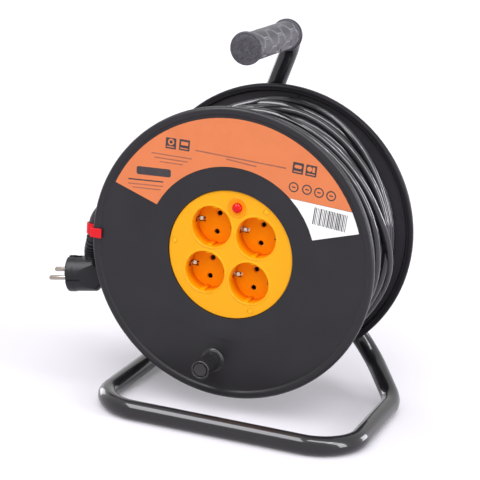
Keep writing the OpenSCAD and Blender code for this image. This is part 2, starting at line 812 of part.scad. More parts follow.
// Least gap of the tube to itself, between points at least three quarters of
// a loop apart
wind_last = len(wind_line) - 1;
wind_gaps = [for (i = [0 : wind_last - 18]) let (
    near = [for (j = [i + 18 : min(i + 34, wind_last)]) norm(wind_line[j] - wind_line[i])])
    min(near) - cable_d];
echo(least_gap_between_loops = min(wind_gaps));

module at_tail() { seat() rotate([0, clip_angle + 90, 0]) children(); }
tail_start = wind_r * [-cos(tail_lean), 0, sin(tail_lean)];
tail_dir = [-sin(tail_lean), 0, -cos(tail_lean)];
tail_mid = [-ring_r + tail_bend, 0, tail_low];
tail_bow = tail_mid + tail_bend * [-cos(tail_lean), 0, sin(tail_lean)];
tail_flat = concat(
    [for (i = [0 : 5]) tail_start + (tail_bow - tail_start) * i / 5],
    [for (i = [1 : 4]) let (a = tail_lean * (1 - i / 4))
        tail_mid + tail_bend * [-cos(a), 0, sin(a)]]);
tail_far = len(tail_flat) - 1;
// The free end moves towards the front flange on its way to the clip
function ease(k) = 3 * k * k - 2 * k * k * k;
tail_line = concat(
    [for (i = [0 : tail_far]) tail_flat[i]
        + [0, wind_y1 + (ring_y - wind_y1) * ease(min(1, i / (tail_far - 1))), 0]],
    [[-ring_r, ring_y, -ring_h / 2], [-ring_r, ring_y, -ring_h / 2 - 1.5]]);
hook_end = tail_line[tail_far + 2];

module cable_tail() {
    color("#2b2b30") at_tail() sweep(tail_line, [for (p = tail_line) cable_r],
        [for (p = tail_line) [0, 1, 0]], 12, tail_dir, [0, 0, -1]);
}

// Sleeve: a ribbed, tapered grommet from the ring down to the plug
plug_neck = plug_face_d / 2;
plug_top = plug_at + plug_axes([plug_entry, 0, plug_neck + 0.1]);
function rot_x(v, a) = [v[0], v[1] * cos(a) - v[2] * sin(a), v[1] * sin(a) + v[2] * cos(a)];
function rot_y(v, a) = [v[0] * cos(a) + v[2] * sin(a), v[1], -v[0] * sin(a) + v[2] * cos(a)];
function rot_z(v, a) = [v[0] * cos(a) - v[1] * sin(a), v[0] * sin(a) + v[1] * cos(a), v[2]];
function plug_axes(v) = rot_z(rot_y(rot_x(v, plug_turn[0]), plug_turn[1]), plug_turn[2]);
sleeve_dir0 = [0, 0, -1];
sleeve_dir1 = unit(plug_axes([0, 0, -1]));
sleeve_mid0 = hook_end + 11 * sleeve_dir0;
sleeve_mid1 = plug_top - 11 * sleeve_dir1;
function bezier(t) = let (s = 1 - t) s * s * s * hook_end + 3 * s * s * t * sleeve_mid0
    + 3 * s * t * t * sleeve_mid1 + t * t * t * plug_top;
sleeve_ribs = 8;
sleeve_steps = [for (i = [0 : sleeve_ribs - 1]) each [(i + 0.05) / sleeve_ribs,
    (i + 0.15) / sleeve_ribs, (i + 0.6) / sleeve_ribs, (i + 0.7) / sleeve_ribs]];
sleeve_t = concat([0], sleeve_steps, [1]);
function sleeve_rad(t, k) = 4.8 + 0.8 * t + (k == 1 || k == 2 ? 0.8 : 0);

module strain_relief() {
    line = [for (t = sleeve_t) bezier(t)];
    rads = [for (i = [0 : len(sleeve_t) - 1]) let (k = (i + 3) % 4)
        (i == 0 || i == len(sleeve_t) - 1) ? sleeve_rad(sleeve_t[i], 0) : sleeve_rad(sleeve_t[i], k)];
    color("#26262a") at_tail() sweep(line, rads, [for (p = line) [0, 1, 0]], 12,
        sleeve_dir0, sleeve_dir1);
}

// ---------- plug ----------

// Radius of the part of a pin that sits in the plug
pin_root_r = plug_pin_d / 2 - 0.3;

module at_plug() { at_tail() translate(plug_at) rotate(plug_turn) children(); }
module disc_x(r, x0, x1) { translate([x0, 0, 0]) rotate([0, 90, 0]) cylinder(r = r, h = x1 - x0); }

module plug_body() {
    face_r = plug_face_d / 2;
    color("#26262a") at_plug() difference() {
        union() {
            disc_x(face_r, 0, 8);
            hull() {
                disc_x(face_r - 0.6, 7, plug_depth - 10, $fn = 48);
                disc_x(face_r - 7, plug_depth - 3, plug_depth, $fn = 48);
                translate([plug_entry, 0, 6]) cylinder(r = 9, h = 7, $fn = 48);
            }
            translate([plug_entry, 0, 8]) cylinder(r = 6.8, h = plug_neck - 8);
        }
        for (s = [1, -1]) {
            translate([0, s * pin_pitch / 2, 0]) disc_x(pin_root_r + 0.02, -1, 7);
            // Groove of an earth contact
            translate([-1, -3, s > 0 ? face_r - 2.2 : -face_r - 1]) cube([8, 6, 3.2]);
            // Guide groove
            translate([-1, s > 0 ? face_r - 2.4 : -face_r - 1, -2.7]) cube([17, 3.4, 5.4]);
        }
    }
}

module plug_pins() {
    color("#c9c6bd") at_plug() for (s = [1, -1]) translate([0, s * pin_pitch / 2, 0]) {
        disc_x(plug_pin_d / 2, -plug_pin_l + 1, 0);
        disc_x(pin_root_r, -1, 7);
        translate([-plug_pin_l, 0, 0]) rotate([0, 90, 0])
            cylinder(r1 = plug_pin_d / 2 - 0.9, r2 = plug_pin_d / 2, h = 1.01);
    }
}

module plug_earth() {
    face_r = plug_face_d / 2;
    color("#c9c6bd") at_plug() for (s = [1, -1])
        translate([0.3, -2.6, s > 0 ? face_r - 2.2 : -face_r + 0.9]) cube([6.6, 5.2, 1.3]);
}

// ---------- assembly ----------

frame_tube();
handle_grip();
grip_end_cap();
axle_bracket();
axle_sleeve();
axle_bolt();
rear_saddle();
keeper_washer();
axle_nut();
thrust_washer();
front_flange();
rear_flange();
socket_plate();
earth_bus();
phase_bus();
neutral_bus();
cutout_body();
reset_button();
plate_screws();
screw_covers();
flange_screws();
knob_spindle();
crank_knob();
knob_cap();
label_orange();
label_white();
cable_clip();
cable_core();
cable_turns();
cable_tail();
strain_relief();
plug_body();
plug_pins();
plug_earth();
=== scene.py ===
"""Extension cord reel: finishes, wound cable and fine detail over the rigid model."""

from __future__ import annotations

import logging
from dataclasses import dataclass
from enum import Enum
from functools import cache
from math import acos, atan2, ceil, cos, degrees, hypot, inf, pi, radians, sin, sqrt, tan, tau
from typing import Callable, ClassVar, Sequence

import bmesh
import bpy
from mathutils import Matrix, Vector
from mathutils.geometry import tessellate_polygon

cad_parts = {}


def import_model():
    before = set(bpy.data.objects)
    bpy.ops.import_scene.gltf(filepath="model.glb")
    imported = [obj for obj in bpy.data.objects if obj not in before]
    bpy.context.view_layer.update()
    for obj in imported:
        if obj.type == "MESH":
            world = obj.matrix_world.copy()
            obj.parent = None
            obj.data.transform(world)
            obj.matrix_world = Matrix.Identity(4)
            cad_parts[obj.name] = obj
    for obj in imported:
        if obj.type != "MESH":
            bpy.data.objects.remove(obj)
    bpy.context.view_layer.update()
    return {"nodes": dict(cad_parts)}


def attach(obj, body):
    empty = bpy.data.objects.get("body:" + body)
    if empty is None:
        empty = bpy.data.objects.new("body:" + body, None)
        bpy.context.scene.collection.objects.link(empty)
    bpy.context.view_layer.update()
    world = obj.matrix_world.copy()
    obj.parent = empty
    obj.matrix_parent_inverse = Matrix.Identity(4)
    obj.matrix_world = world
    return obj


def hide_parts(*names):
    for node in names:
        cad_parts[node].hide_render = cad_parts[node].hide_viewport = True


MM = 0.001
LOG = logging.getLogger("cord_reel")
Flat = tuple[float, float]
Point = tuple[float, float, float]
Colour = Point
Place = Callable[[Point], Vector]
Object = bpy.types.Object
Socket = bpy.types.NodeSocket


class Body(Enum):
    """The rigid bodies that pieces ride on."""

    STAND = "stand"
    DRUM = "drum"
    KNOB = "knob"
    BUTTON = "button"


class Pattern(Enum):
    """How a finish's grain is laid over a piece."""

    GRAIN = "grain"
    ALONG = "along"
    TURNED = "turned"


# ---------- placing


@dataclass(frozen=True)
class Seat:
    """Where the drum's axis and the front flange's face stand, in millimetres."""

    axis_x: float = -1.05
    face_y: float = -50.25
    axle_h: float = 162.4
    drum_turn: float = 5.5
    clip_angle: float = -89.8

    def point(self, p: Sequence[float], turn: float = 0.0) -> Vector:
        """Takes a point of the drum's frame to metres in the row frame.

        Args:
            p: The point, in millimetres from the axis and the front face.
            turn: Degrees that it is turned about the drum's axis first.

        Returns:
            The place in the row frame.
        """
        c, s = cos(radians(turn)), sin(radians(turn))
        return Vector((
            (self.axis_x + p[0] * c + p[2] * s) * MM,
            (self.face_y + p[1]) * MM,
            (self.axle_h - p[0] * s + p[2] * c) * MM))

    def on_drum(self, p: Sequence[float]) -> Vector:
        """Takes a point of the drum, as it is turned at rest, to the row frame."""
        return self.point(p, self.drum_turn)

    def at_clip(self, p: Sequence[float]) -> Vector:
        """Takes a point written as if the clip stood at the drum's left."""
        return self.point(p, self.clip_angle + 90.0)


SEAT = Seat()


def ease(k: float) -> float:
    """Goes smoothly from 0 to 1 as k does."""
    k = max(0.0, min(1.0, k))
    return k * k * (3 - 2 * k)


def smooth_line(knots: Sequence[Sequence[float]], at: float) -> list[float]:
    """Reads a smooth line through knots at a place along it.

    Args:
        knots: Rows of a rising place and the values there.
        at: The place to read.

    Returns:
        The values at that place.
    """
    i = 0
    while i < len(knots) - 2 and knots[i + 1][0] <= at:
        i += 1
    before, a = knots[max(i - 1, 0)], knots[i]
    b, after = knots[i + 1], knots[min(i + 2, len(knots) - 1)]
    span = b[0] - a[0]
    t = max(0.0, min(1.0, (at - a[0]) / span))
    out = []
    for j in range(1, len(a)):
        m0 = (b[j] - before[j]) / max(b[0] - before[0], 1e-9) * span
        m1 = (after[j] - a[j]) / max(after[0] - a[0], 1e-9) * span
        out.append((2 * t**3 - 3 * t**2 + 1) * a[j] + (t**3 - 2 * t**2 + t) * m0
                   + (3 * t**2 - 2 * t**3) * b[j] + (t**3 - t**2) * m1)
    return out


# ---------- finishes


class NodeTree:
    """A tree of nodes in the making."""

    prefix = ""

    def __init__(self, tree: bpy.types.NodeTree) -> None:
        """Takes the tree that nodes are added to."""
        self.tree = tree

    def node(self, kind: str, sockets: dict | None = None, **settings: object) -> bpy.types.Node:
        """Adds a node.

        Args:
            kind: The node's type, without the tree's prefix.
            sockets: Values or sockets for its inputs, by name or number.
            settings: Values for the node's own settings.

        Returns:
            The node.
        """
        made = self.tree.nodes.new(self.prefix + kind)
        for key, value in settings.items():
            setattr(made, key, value)
        for key, value in (sockets or {}).items():
            self.put(made.inputs[key], value)
        return made

    def put(self, socket: Socket, value: object) -> None:
        """Links a socket to an input, or sets the input's value.

        Args:
            socket: The input.
            value: A socket to link to it, or its own value.
        """
        if isinstance(value, Socket):
            self.tree.links.new(value, socket)
        else:
            socket.default_value = value

    def maths(self, kind: str, *values: object) -> Socket:
        """Adds a Math node.

        Args:
            kind: The operation.
            values: Values or sockets for its inputs, in order.

        Returns:
            The result's socket.
        """
        made = self.tree.nodes.new("ShaderNodeMath")
        made.operation = kind
        for socket, value in zip(made.inputs, values):
            self.put(socket, value)
        return made.outputs[0]


class ShaderTree(NodeTree):
    """A material's node tree with one Principled shader."""

    prefix = "ShaderNode"

    def __init__(self, name: str) -> None:
        """Starts a material.

        Args:
            name: The material's name.
        """
        self.material = bpy.data.materials.new(name)
        self.material.use_nodes = True
        super().__init__(self.material.node_tree)
        self.tree.nodes.clear()
        self.out = self.node("OutputMaterial")
        self.shader = self.node("BsdfPrincipled")
        self.put(self.out.inputs[0], self.shader.outputs[0])

    def mix(self, factor: object, a: object, b: object) -> Socket:
        """Mixes two colours by a factor and gives the result."""
        a, b = ((*c, 1.0) if isinstance(c, tuple) else c for c in (a, b))
        return self.node("Mix", {0: factor, 6: a, 7: b}, data_type="RGBA").outputs[2]

    def ramp(self, value: object, start: float = 0.0, end: float = 1.0, low: float = 0.0,
             high: float = 1.0) -> Socket:
        """Goes evenly from low to high as a value goes from start to end."""
        return self.node("MapRange", {0: value, 1: start, 2: end, 3: low, 4: high}).outputs[0]


@dataclass(frozen=True)
class Finish:
    """A surface: the record's slot that it stands for, its colour, gloss and grain.

    Sizes of grain and mottle are in millimetres. Plastic with a deep colour goes to it at
    the bottom of the recesses, and to its crease colour in the corner there: both are
    painted shade. Raised pads take the edge colour, a painted highlight, on their slopes,
    and the valley colour, lighter than the pad tops, between them. The bead round a flange
    takes the rim colour, painted shade that darkens it.
    """

    name: str
    slot: str
    colour: Colour
    roughness: float
    metallic: float = 0.0
    specular: float = 0.5
    coat: float = 0.0
    coat_roughness: float = 0.1
    sheen: float = 0.0
    subsurface: float = 0.0
    grain: float = 0.5
    depth: float = 0.02
    mottle: float = 18.0
    contrast: float = 0.12
    uneven: float = 0.06
    pattern: Pattern = Pattern.GRAIN
    # The deep and crease colours are painted shade in recesses, the edge colour a painted highlight
    # on pad slopes, the rim colour painted shade on a flange's bead.
    deep_shade: Colour | None = None
    crease_shade: Colour | None = None
    edge: Colour | None = None
    valley: Colour | None = None
    rim_shade: Colour | None = None

    @cache
    def material(self) -> bpy.types.Material:
        """Builds the node material of this finish, once."""
        return Coat(self).dressed()


class Coat(ShaderTree):
    """The node tree of one finish. Spans are in millimetres."""

    deep_shade_span: Flat = (4.0, 18.0)
    crease_rise: Flat = (9.0, 18.2)
    crease_fall: Flat = (18.9, 19.25)
    rim_span: Flat = (137.0, 141.0)
    mottle_share: Flat = (0.3, 0.7)
    edge_gain: float = 7.0
    lathe_marks: float = 1400.0
    stretch: float = 0.06
    bump_strength: float = 0.6
    skin_radius: Colour = (1.0, 0.45, 0.1)
    skin_scale: float = 0.004

    def __init__(self, finish: Finish) -> None:
        """Starts the material of a finish.

        Args:
            finish: The finish.
        """
        super().__init__(finish.name)
        self.finish = finish
        place = self.node("TexCoord").outputs
        self.uv, self.where = place["UV"], place["Object"]
        if finish.pattern is Pattern.ALONG:
            self.where = self.node("Mapping", {0: self.uv, 3: (1.0, self.stretch, 1.0)}).outputs[0]

    def noise(self, size: float, detail: float, roughness: float) -> Socket:
        """Adds noise.

        Args:
            size: How large its features are, in millimetres.
            detail: How many finer layers it has.
            roughness: How strong these are.

        Returns:
            The noise's socket.
        """
        unit = 1.0 if self.finish.pattern is Pattern.ALONG else 1.0 / MM
        return self.node("TexNoise", {"Vector": self.where, "Scale": unit / size,
                                      "Detail": detail, "Roughness": roughness}).outputs["Fac"]

    def behind_face(self, span: Flat, low: float = 0.0, high: float = 1.0) -> Socket:
        """Changes a value with the depth behind the front flange's face.

        Args:
            span: Where the change starts and ends.
            low: The value up to the start.
            high: The value from the end on.

        Returns:
            The value's socket.
        """
        depth = self.node("SeparateXYZ", {0: self.where}).outputs[1]
        start, end = ((SEAT.face_y + y) * MM for y in span)
        return self.ramp(depth, start, end, low, high)

    def lay(self, share: Socket, colour: Colour) -> None:
        """Lays a colour over the one so far, by a share of 0 to 1."""
        self.colour = self.mix(share, self.colour, colour)

    def shade_recess(self) -> None:
        """Lays painted shade over a recess: the deep colour on its bottom and the crease colour in
        the corner round it.
        """
        self.lay(self.behind_face(self.deep_shade_span), self.finish.deep_shade)
        if self.finish.crease_shade:
            self.lay(self.maths("MULTIPLY", self.behind_face(self.crease_rise),
                                self.behind_face(self.crease_fall, 1.0, 0.0)),
                     self.finish.crease_shade)

    def shade_rim(self) -> None:
        """Lays painted shade, the rim colour, over the bead round a flange."""
        split = self.node("SeparateXYZ", {0: self.where}).outputs
        x = self.maths("SUBTRACT", split[0], SEAT.axis_x * MM)
        z = self.maths("SUBTRACT", split[2], SEAT.axle_h * MM)
        reach = self.maths("SQRT", self.maths("ADD", self.maths("MULTIPLY", x, x),
                                              self.maths("MULTIPLY", z, z)))
        self.lay(self.ramp(reach, *(r * MM for r in self.rim_span)), self.finish.rim_shade)

    def raised(self) -> None:
        """Colours raised pads by the UV map: a painted highlight, the edge colour, on their slopes
        and the valley colour on the ground between them.
        """
        height = self.node("SeparateXYZ", {0: self.uv}).outputs[1]
        if self.finish.valley:
            self.colour = self.mix(height, self.finish.valley, self.colour)
        self.lay(self.maths("MULTIPLY", self.maths("MULTIPLY", height, self.edge_gain),
                            self.maths("SUBTRACT", 1.0, height)), self.finish.edge)

    def dressed(self) -> bpy.types.Material:
        """Lays colour, gloss and grain.

        Returns:
            The material.
        """
        finish = self.finish
        fine = self.noise(finish.grain, 3.0, 0.6)
        broad = self.noise(finish.mottle, 4.0, 0.55)
        low, high = (tuple(min(1.0, c * (1 + side * finish.contrast)) for c in finish.colour)
                     for side in (-1, 1))
        self.colour = self.mix(self.ramp(broad, *self.mottle_share), low, high)
        # Painted shade in recesses and on a flange's bead, and a painted highlight on pad slopes.
        for wanted, add in ((finish.deep_shade, self.shade_recess), (finish.rim_shade, self.shade_rim),
                            (finish.edge, self.raised)):
            if wanted:
                add()
        uneven = finish.uneven
        gloss = self.maths("ADD", self.ramp(fine, low=-0.5 * uneven, high=0.5 * uneven),
                           self.ramp(broad, low=finish.roughness - uneven,
                                     high=finish.roughness + uneven))
        height = fine
        if finish.pattern is Pattern.TURNED:
            along = self.node("SeparateXYZ", {0: self.where}).outputs[1]
            rings = self.node("TexNoise", {"W": along, "Scale": self.lathe_marks},
                              noise_dimensions="1D")
            height = self.maths("ADD", height, rings.outputs["Fac"])
        bump = self.node("Bump", {"Height": height, "Strength": self.bump_strength,
                                  "Distance": finish.depth * MM})
        sockets = {"Base Color": self.colour, "Roughness": gloss, "Normal": bump.outputs[0],
                   "Metallic": finish.metallic, "Specular IOR Level": finish.specular,
                   "Coat Weight": finish.coat, "Coat Roughness": finish.coat_roughness,
                   "Sheen Weight": finish.sheen, "Subsurface Weight": finish.subsurface}
        if finish.subsurface:
            sockets |= {"Subsurface Radius": self.skin_radius,
                        "Subsurface Scale": self.skin_scale}
        for name, value in sockets.items():
            self.put(self.shader.inputs[name], value)
        return self.material


ENAMEL = Finish("black_enamel", "black_tube", (0.01, 0.0092, 0.0118), 0.35, coat=0.8,
                coat_roughness=0.07, specular=0.1, grain=1.4, depth=0.035, mottle=30, uneven=0.05)
# The grip's edge colour is a painted highlight on the pads' slopes; its valley colour lies lighter
# between the pads.
GRIP = Finish("grip_moulding", "grip_rubber", (0.028, 0.026, 0.034), 0.4, specular=0.3, grain=0.35,
              depth=0.05, mottle=4.5, contrast=0.22, uneven=0.08, sheen=0.05,
              edge=(0.165, 0.16, 0.185), valley=(0.072, 0.068, 0.083))
CAP = Finish("cap_moulding", "grip_rubber", (0.056, 0.053, 0.064), 0.5, specular=0.35, grain=0.4,
             depth=0.06, mottle=2.2, contrast=0.5, uneven=0.08, sheen=0.05)
DRUM = Finish("drum_moulding", "drum_plastic", (0.02, 0.019, 0.0222), 0.36, specular=0.26,
              grain=0.45, depth=0.03, mottle=42, contrast=0.1, uneven=0.05)
# The rear flange's rim colour is painted shade that darkens the bead round it.
REAR = Finish("rear_plastic", "drum_plastic", (0.05, 0.047, 0.054), 0.4, specular=0.08, grain=0.45,
              mottle=55, rim_shade=(0.014, 0.013, 0.016))
KNOB = Finish("knob_plastic", "drum_plastic", (0.0165, 0.016, 0.0182), 0.3, grain=0.4, mottle=7,
              uneven=0.07)
PLATE = Finish("plate_moulding", "socket_plastic", (0.955, 0.425, 0.008), 0.34, specular=0.16,
               depth=0.015, mottle=26, contrast=0.02, uneven=0.05)
# The recess's deep and crease colours are painted shade at its bottom and in its corner.
CUP = Finish("recess_plastic", "socket_plastic", (0.98, 0.455, 0.003), 0.36, specular=0.03,
             depth=0.015, mottle=9, contrast=0.04, uneven=0.05, deep_shade=(0.96, 0.285, 0.0008),
             crease_shade=(0.8, 0.165, 0.001))
COVERS = Finish("cover_plastic", "socket_plastic", (0.97, 0.475, 0.0105), 0.34, specular=0.14,
                depth=0.015, mottle=9, contrast=0.03)
RED = Finish("clip_moulding", "red_plastic", (0.74, 0.0085, 0.0165), 0.3, specular=0.22, mottle=8,
             contrast=0.08, uneven=0.05)
# The collar's colour is a darker orange than the plate's: painted shade in the dish round the
# button.
SHADED_COLLAR = Finish("collar_painted_shade", "socket_plastic", (0.97, 0.335, 0.005), 0.34, specular=0.14,
                depth=0.015, mottle=9, contrast=0.04)
BUTTON = Finish("button_plastic", "red_plastic", (0.74, 0.003, 0.004), 0.12, specular=0.24,
                grain=0.6, depth=0.006, mottle=5, contrast=0.08, uneven=0.03)
SHEATH = Finish("sheath_moulding", "cable_sheath", (0.012, 0.0115, 0.016), 0.34, specular=0.12,
                coat=1.0, coat_roughness=0.05, grain=0.16, depth=0.008, mottle=0.9, contrast=0.2,
                uneven=0.05, pattern=Pattern.ALONG)
PLUG = Finish("plug_rubber", "cable_sheath", (0.0165, 0.016, 0.019), 0.36, specular=0.25,
              depth=0.03, mottle=12, contrast=0.14)
ZINC = Finish("zinc_steel", "steel", (0.56, 0.57, 0.59), 0.32, metallic=1.0, grain=0.4, depth=0.01,
              mottle=5, contrast=0.1, uneven=0.09, pattern=Pattern.TURNED)
BLOCK = Finish("cast_block", "steel", (0.3, 0.305, 0.32), 0.45, metallic=1.0, grain=0.8,
               depth=0.05, mottle=10, contrast=0.14, uneven=0.1)
BRASS = Finish("contact_brass", "brass", (0.72, 0.52, 0.19), 0.28, metallic=1.0, grain=0.6,
               depth=0.01, mottle=6, contrast=0.14, uneven=0.08)
SPRING = Finish("spring_bronze", "nickel", (0.62, 0.5, 0.36), 0.3, metallic=1.0, grain=0.6,
                depth=0.01, mottle=3, contrast=0.1, uneven=0.08)
PINS = Finish("pin_nickel", "nickel", (0.36, 0.32, 0.28), 0.16, metallic=1.0, grain=0.6,
              depth=0.008, mottle=5, contrast=0.1)
NICKEL = Finish("nickel_plate", "nickel", (0.8, 0.77, 0.72), 0.22, metallic=1.0, grain=0.6,
                depth=0.008, mottle=5, contrast=0.06, uneven=0.07)
LABEL = Finish("label_print", "label_orange", (0.77, 0.232, 0.092), 0.5, specular=0.1, grain=0.3,
               depth=0.012, mottle=24, contrast=0.03, uneven=0.05)
PANEL = Finish("panel_print", "label_white", (0.965, 0.965, 0.95), 0.5, specular=0.2, grain=0.3,
               depth=0.012, mottle=24, contrast=0.015, uneven=0.05)
INK = Finish("dark_ink", "black_tube", (0.045, 0.04, 0.046), 0.5, specular=0.3, grain=0.3,
             depth=0.01, mottle=6, uneven=0.05)
FAINT = Finish("brown_ink", "label_orange", (0.36, 0.125, 0.075), 0.5, specular=0.3, grain=0.3,
               depth=0.01, mottle=6, uneven=0.05)
NYLON = Finish("washer_nylon", "nylon", (0.66, 0.64, 0.58), 0.45, mottle=8, contrast=0.05,
               subsurface=0.05)

CAD_FINISHES: dict[str, Finish] = {
    "frame_tube": ENAMEL, "handle_grip": GRIP, "grip_end_cap": CAP, "axle_bracket": BLOCK,
    "axle_sleeve": ZINC, "axle_bolt": ZINC, "rear_saddle": BLOCK, "keeper_washer": ZINC,
    "axle_nut": ZINC, "thrust_washer": NYLON, "front_flange": DRUM, "rear_flange": REAR,
    "socket_plate": PLATE, "earth_bus": NICKEL, "phase_bus": BRASS, "neutral_bus": BRASS,
    "cutout_body": DRUM, "reset_button": BUTTON, "plate_screws": ZINC, "screw_covers": COVERS,
    "flange_screws": ZINC, "knob_spindle": ZINC, "crank_knob": KNOB, "knob_cap": KNOB,
    "label_orange": LABEL, "label_white": PANEL, "cable_clip": RED, "plug_body": PLUG,
    "plug_pins": NICKEL, "plug_earth": NICKEL, "strain_relief": PLUG, "cable_core": SHEATH,
    "cable_turns": SHEATH, "cable_tail": SHEATH}


# ---------- meshes


def placed(name: str, data: bpy.types.ID) -> Object:
    """Makes an object and links it to the scene.

    Args:
        name: The object's name.
        data: What it shows.

    Returns:
        The object.
    """
    made = bpy.data.objects.new(name, data)
    bpy.context.scene.collection.objects.link(made)
    return made


def smooth(mesh: bpy.types.Mesh, sharp: float) -> None:
    """Shades a mesh smooth, but for edges steeper than that many degrees."""
    mesh.shade_smooth()
    mesh.set_sharp_from_angle(angle=radians(sharp))


def bake(piece: Object, *tools: Object) -> None:
    """Turns a piece's modifiers into plain mesh, and removes them and their tools.

    Args:
        piece: The piece.
        tools: Objects that only the modifiers needed.
    """
    bpy.context.view_layer.update()
    solid = bpy.data.meshes.new_from_object(
        piece.evaluated_get(bpy.context.evaluated_depsgraph_get()))
    piece.modifiers.clear()
    piece.data = solid
    for tool in tools:
        bpy.data.objects.remove(tool)


def cut_away(piece: Object, tool: Object) -> bpy.types.Modifier:
    """Cuts a tool's shape out of a piece, with a modifier that is still to be baked.

    Args:
        piece: The piece.
        tool: The object whose shape is cut out.

    Returns:
        The modifier.
    """
    cut = piece.modifiers.new(tool.name, "BOOLEAN")
    cut.operation, cut.solver, cut.object = "DIFFERENCE", "EXACT", tool
    return cut


class Shape:
    """A mesh in the making. Points are in metres, in the row frame."""

    def __init__(self) -> None:
        """Starts with nothing."""
        self.points: list[Vector] = []
        self.faces: list[tuple[int, ...]] = []
        self.uvs: list[tuple[Flat, ...]] = []

    def face(self, corners: Sequence[int], uvs: Sequence[Flat] | None = None) -> None:
        """Adds one face with its UV places, or with all of them at zero."""
        self.faces.append(tuple(corners))
        self.uvs.append(tuple(uvs or [(0.0, 0.0)] * len(corners)))

    def tube(self, line: Sequence[Vector], radii: Sequence[float], sides: int,
             up: Point = (0, -1, 0), closed: bool = False) -> None:
        """Adds a round tube along a line, without twist.

        Args:
            line: The middle line's points, in metres.
            radii: The radius at each point, in metres.
            sides: How many sides the tube has.
            up: A direction for the first ring's first corner.
            closed: Whether the line's end joins its start.
        """
        first, n = len(self.points), len(line)
        side, along = Vector(up), 0.0
        lengths = []
        for i, c in enumerate(line):
            if closed:
                way = (line[(i + 1) % n] - line[i - 1]).normalized()
            else:
                way = (line[min(i + 1, n - 1)] - line[max(i - 1, 0)]).normalized()
            side = (side - side.dot(way) * way).normalized()
            other = way.cross(side)
            if i:
                along += (c - line[i - 1]).length
            lengths.append(along)
            for k in range(sides):
                a = tau * k / sides
                self.points.append(c + radii[i] * (cos(a) * side + sin(a) * other))
        for i in range(n if closed else n - 1):
            j = (i + 1) % n
            for k in range(sides):
                m = (k + 1) % sides
                u0, u1 = k * 26.0 / sides, (k + 1) * 26.0 / sides
                v0, v1 = lengths[i] * 1000, (lengths[j] if j else along) * 1000
                self.face((first + i * sides + k, first + j * sides + k,
                           first + j * sides + m, first + i * sides + m),
                          ((u0, v0), (u0, v1), (u1, v1), (u1, v0)))
        if not closed:
            for i, way in ((0, 1), (n - 1, -1)):
                hub = len(self.points)
                self.points.append(line[i].copy())
                for k in range(sides):
                    a, b = first + i * sides + k, first + i * sides + (k + 1) % sides
                    self.face((hub, a, b) if way > 0 else (hub, b, a),
                              ((13.0, 0.0), (12.0, 1.0), (14.0, 1.0)))

    def lathe(self, profile: Sequence[Flat], place: Place, steps: int = 96,
              centre: Flat = (0.0, 0.0), ring: bool = False) -> None:
        """Turns a profile about a line that runs along Y.

        Args:
            profile: Radius and Y of each point, in millimetres. A radius of 0 is a pole.
            place: Where a point of the drum's frame goes.
            steps: How many steps a full turn has.
            centre: X and Z of the line.
            ring: Whether the profile's last point joins its first.
        """
        rows: list[list[int]] = []
        for r, y in profile:
            row = []
            for k in range(1 if r <= 0 else steps):
                a = tau * k / steps
                row.append(len(self.points))
                self.points.append(place((centre[0] + r * sin(a), y,
                                          centre[1] + r * cos(a))))
            rows.append(row)
        for i in range(len(rows) if ring else len(rows) - 1):
            a, b = rows[i], rows[(i + 1) % len(rows)]
            for k in range(steps):
                m = (k + 1) % steps
                quad = [a[k % len(a)], b[k % len(b)], b[m % len(b)], a[m % len(a)]]
                corners = list(dict.fromkeys(quad))
                if len(corners) > 2:
                    u = k / steps
                    self.face(corners, [(u, i * 0.1)] * len(corners))

    def prism(self, outline: Sequence[Flat], y0: float, y1: float, place: Place) -> None:
        """Adds an upright prism whose outline lies in X and Z.

        Args:
            outline: X and Z of its corners.
            y0: Its front level.
            y1: Its back level.
            place: Where a point of the drum's frame goes.
        """
        n, first = len(outline), len(self.points)
        for y in (y0, y1):
            self.points += [place((x, y, z)) for x, z in outline]
        self.face(range(first, first + n))
        self.face(range(first + 2 * n - 1, first + n - 1, -1))
        for k in range(n):
            m = (k + 1) % n
            self.face((first + k, first + n + k, first + n + m, first + m))

    def band(self, outline: Sequence[Flat], z0: float, z1: float, place: Place) -> None:
        """Adds a band whose outline lies in X and Y and which runs from z0 to z1."""
        self.prism(outline, z0, z1, lambda p: place((p[0], p[2], p[1])))

    def sheet(self, circles: Sequence[tuple[float, float, float, int]], y0: float, y1: float,
              edge: float, place: Place) -> None:
        """Adds a flat sheet with a round outline, round holes and rounded edges.

        Args:
            circles: X, Z, radius and steps of the outline and then of each hole.
            y0: Level of the front face.
            y1: Level of the back face.
            edge: Radius of the rounded edges.
            place: Where a point of the drum's frame goes.
        """
        turns = [radians(22.5 * i) for i in range(5)]
        levels = [(edge * (1 - sin(a)), y0 + edge * (1 - cos(a))) for a in turns]
        levels += [(inset, y0 + y1 - y) for inset, y in reversed(levels)]
        fronts, backs = [], []
        for j, (x, z, r, steps) in enumerate(circles):
            rows = []
            for inset, y in levels:
                rad = r - inset if j == 0 else r + inset
                rows.append(list(range(len(self.points), len(self.points) + steps)))
                self.points += [place((x + rad * sin(tau * k / steps), y,
                                       z + rad * cos(tau * k / steps)))
                                for k in range(steps)]
            for a, b in zip(rows, rows[1:]):
                for k in range(steps):
                    m = (k + 1) % steps
                    self.face((a[k], b[k], b[m], a[m]))
            fronts.append(rows[0])
            backs.append(rows[-1])
        for loops in (fronts, backs):
            flat = [i for loop in loops for i in loop]
            for tri in tessellate_polygon([[self.points[i] for i in loop] for loop in loops]):
                self.face([flat[i] for i in tri])

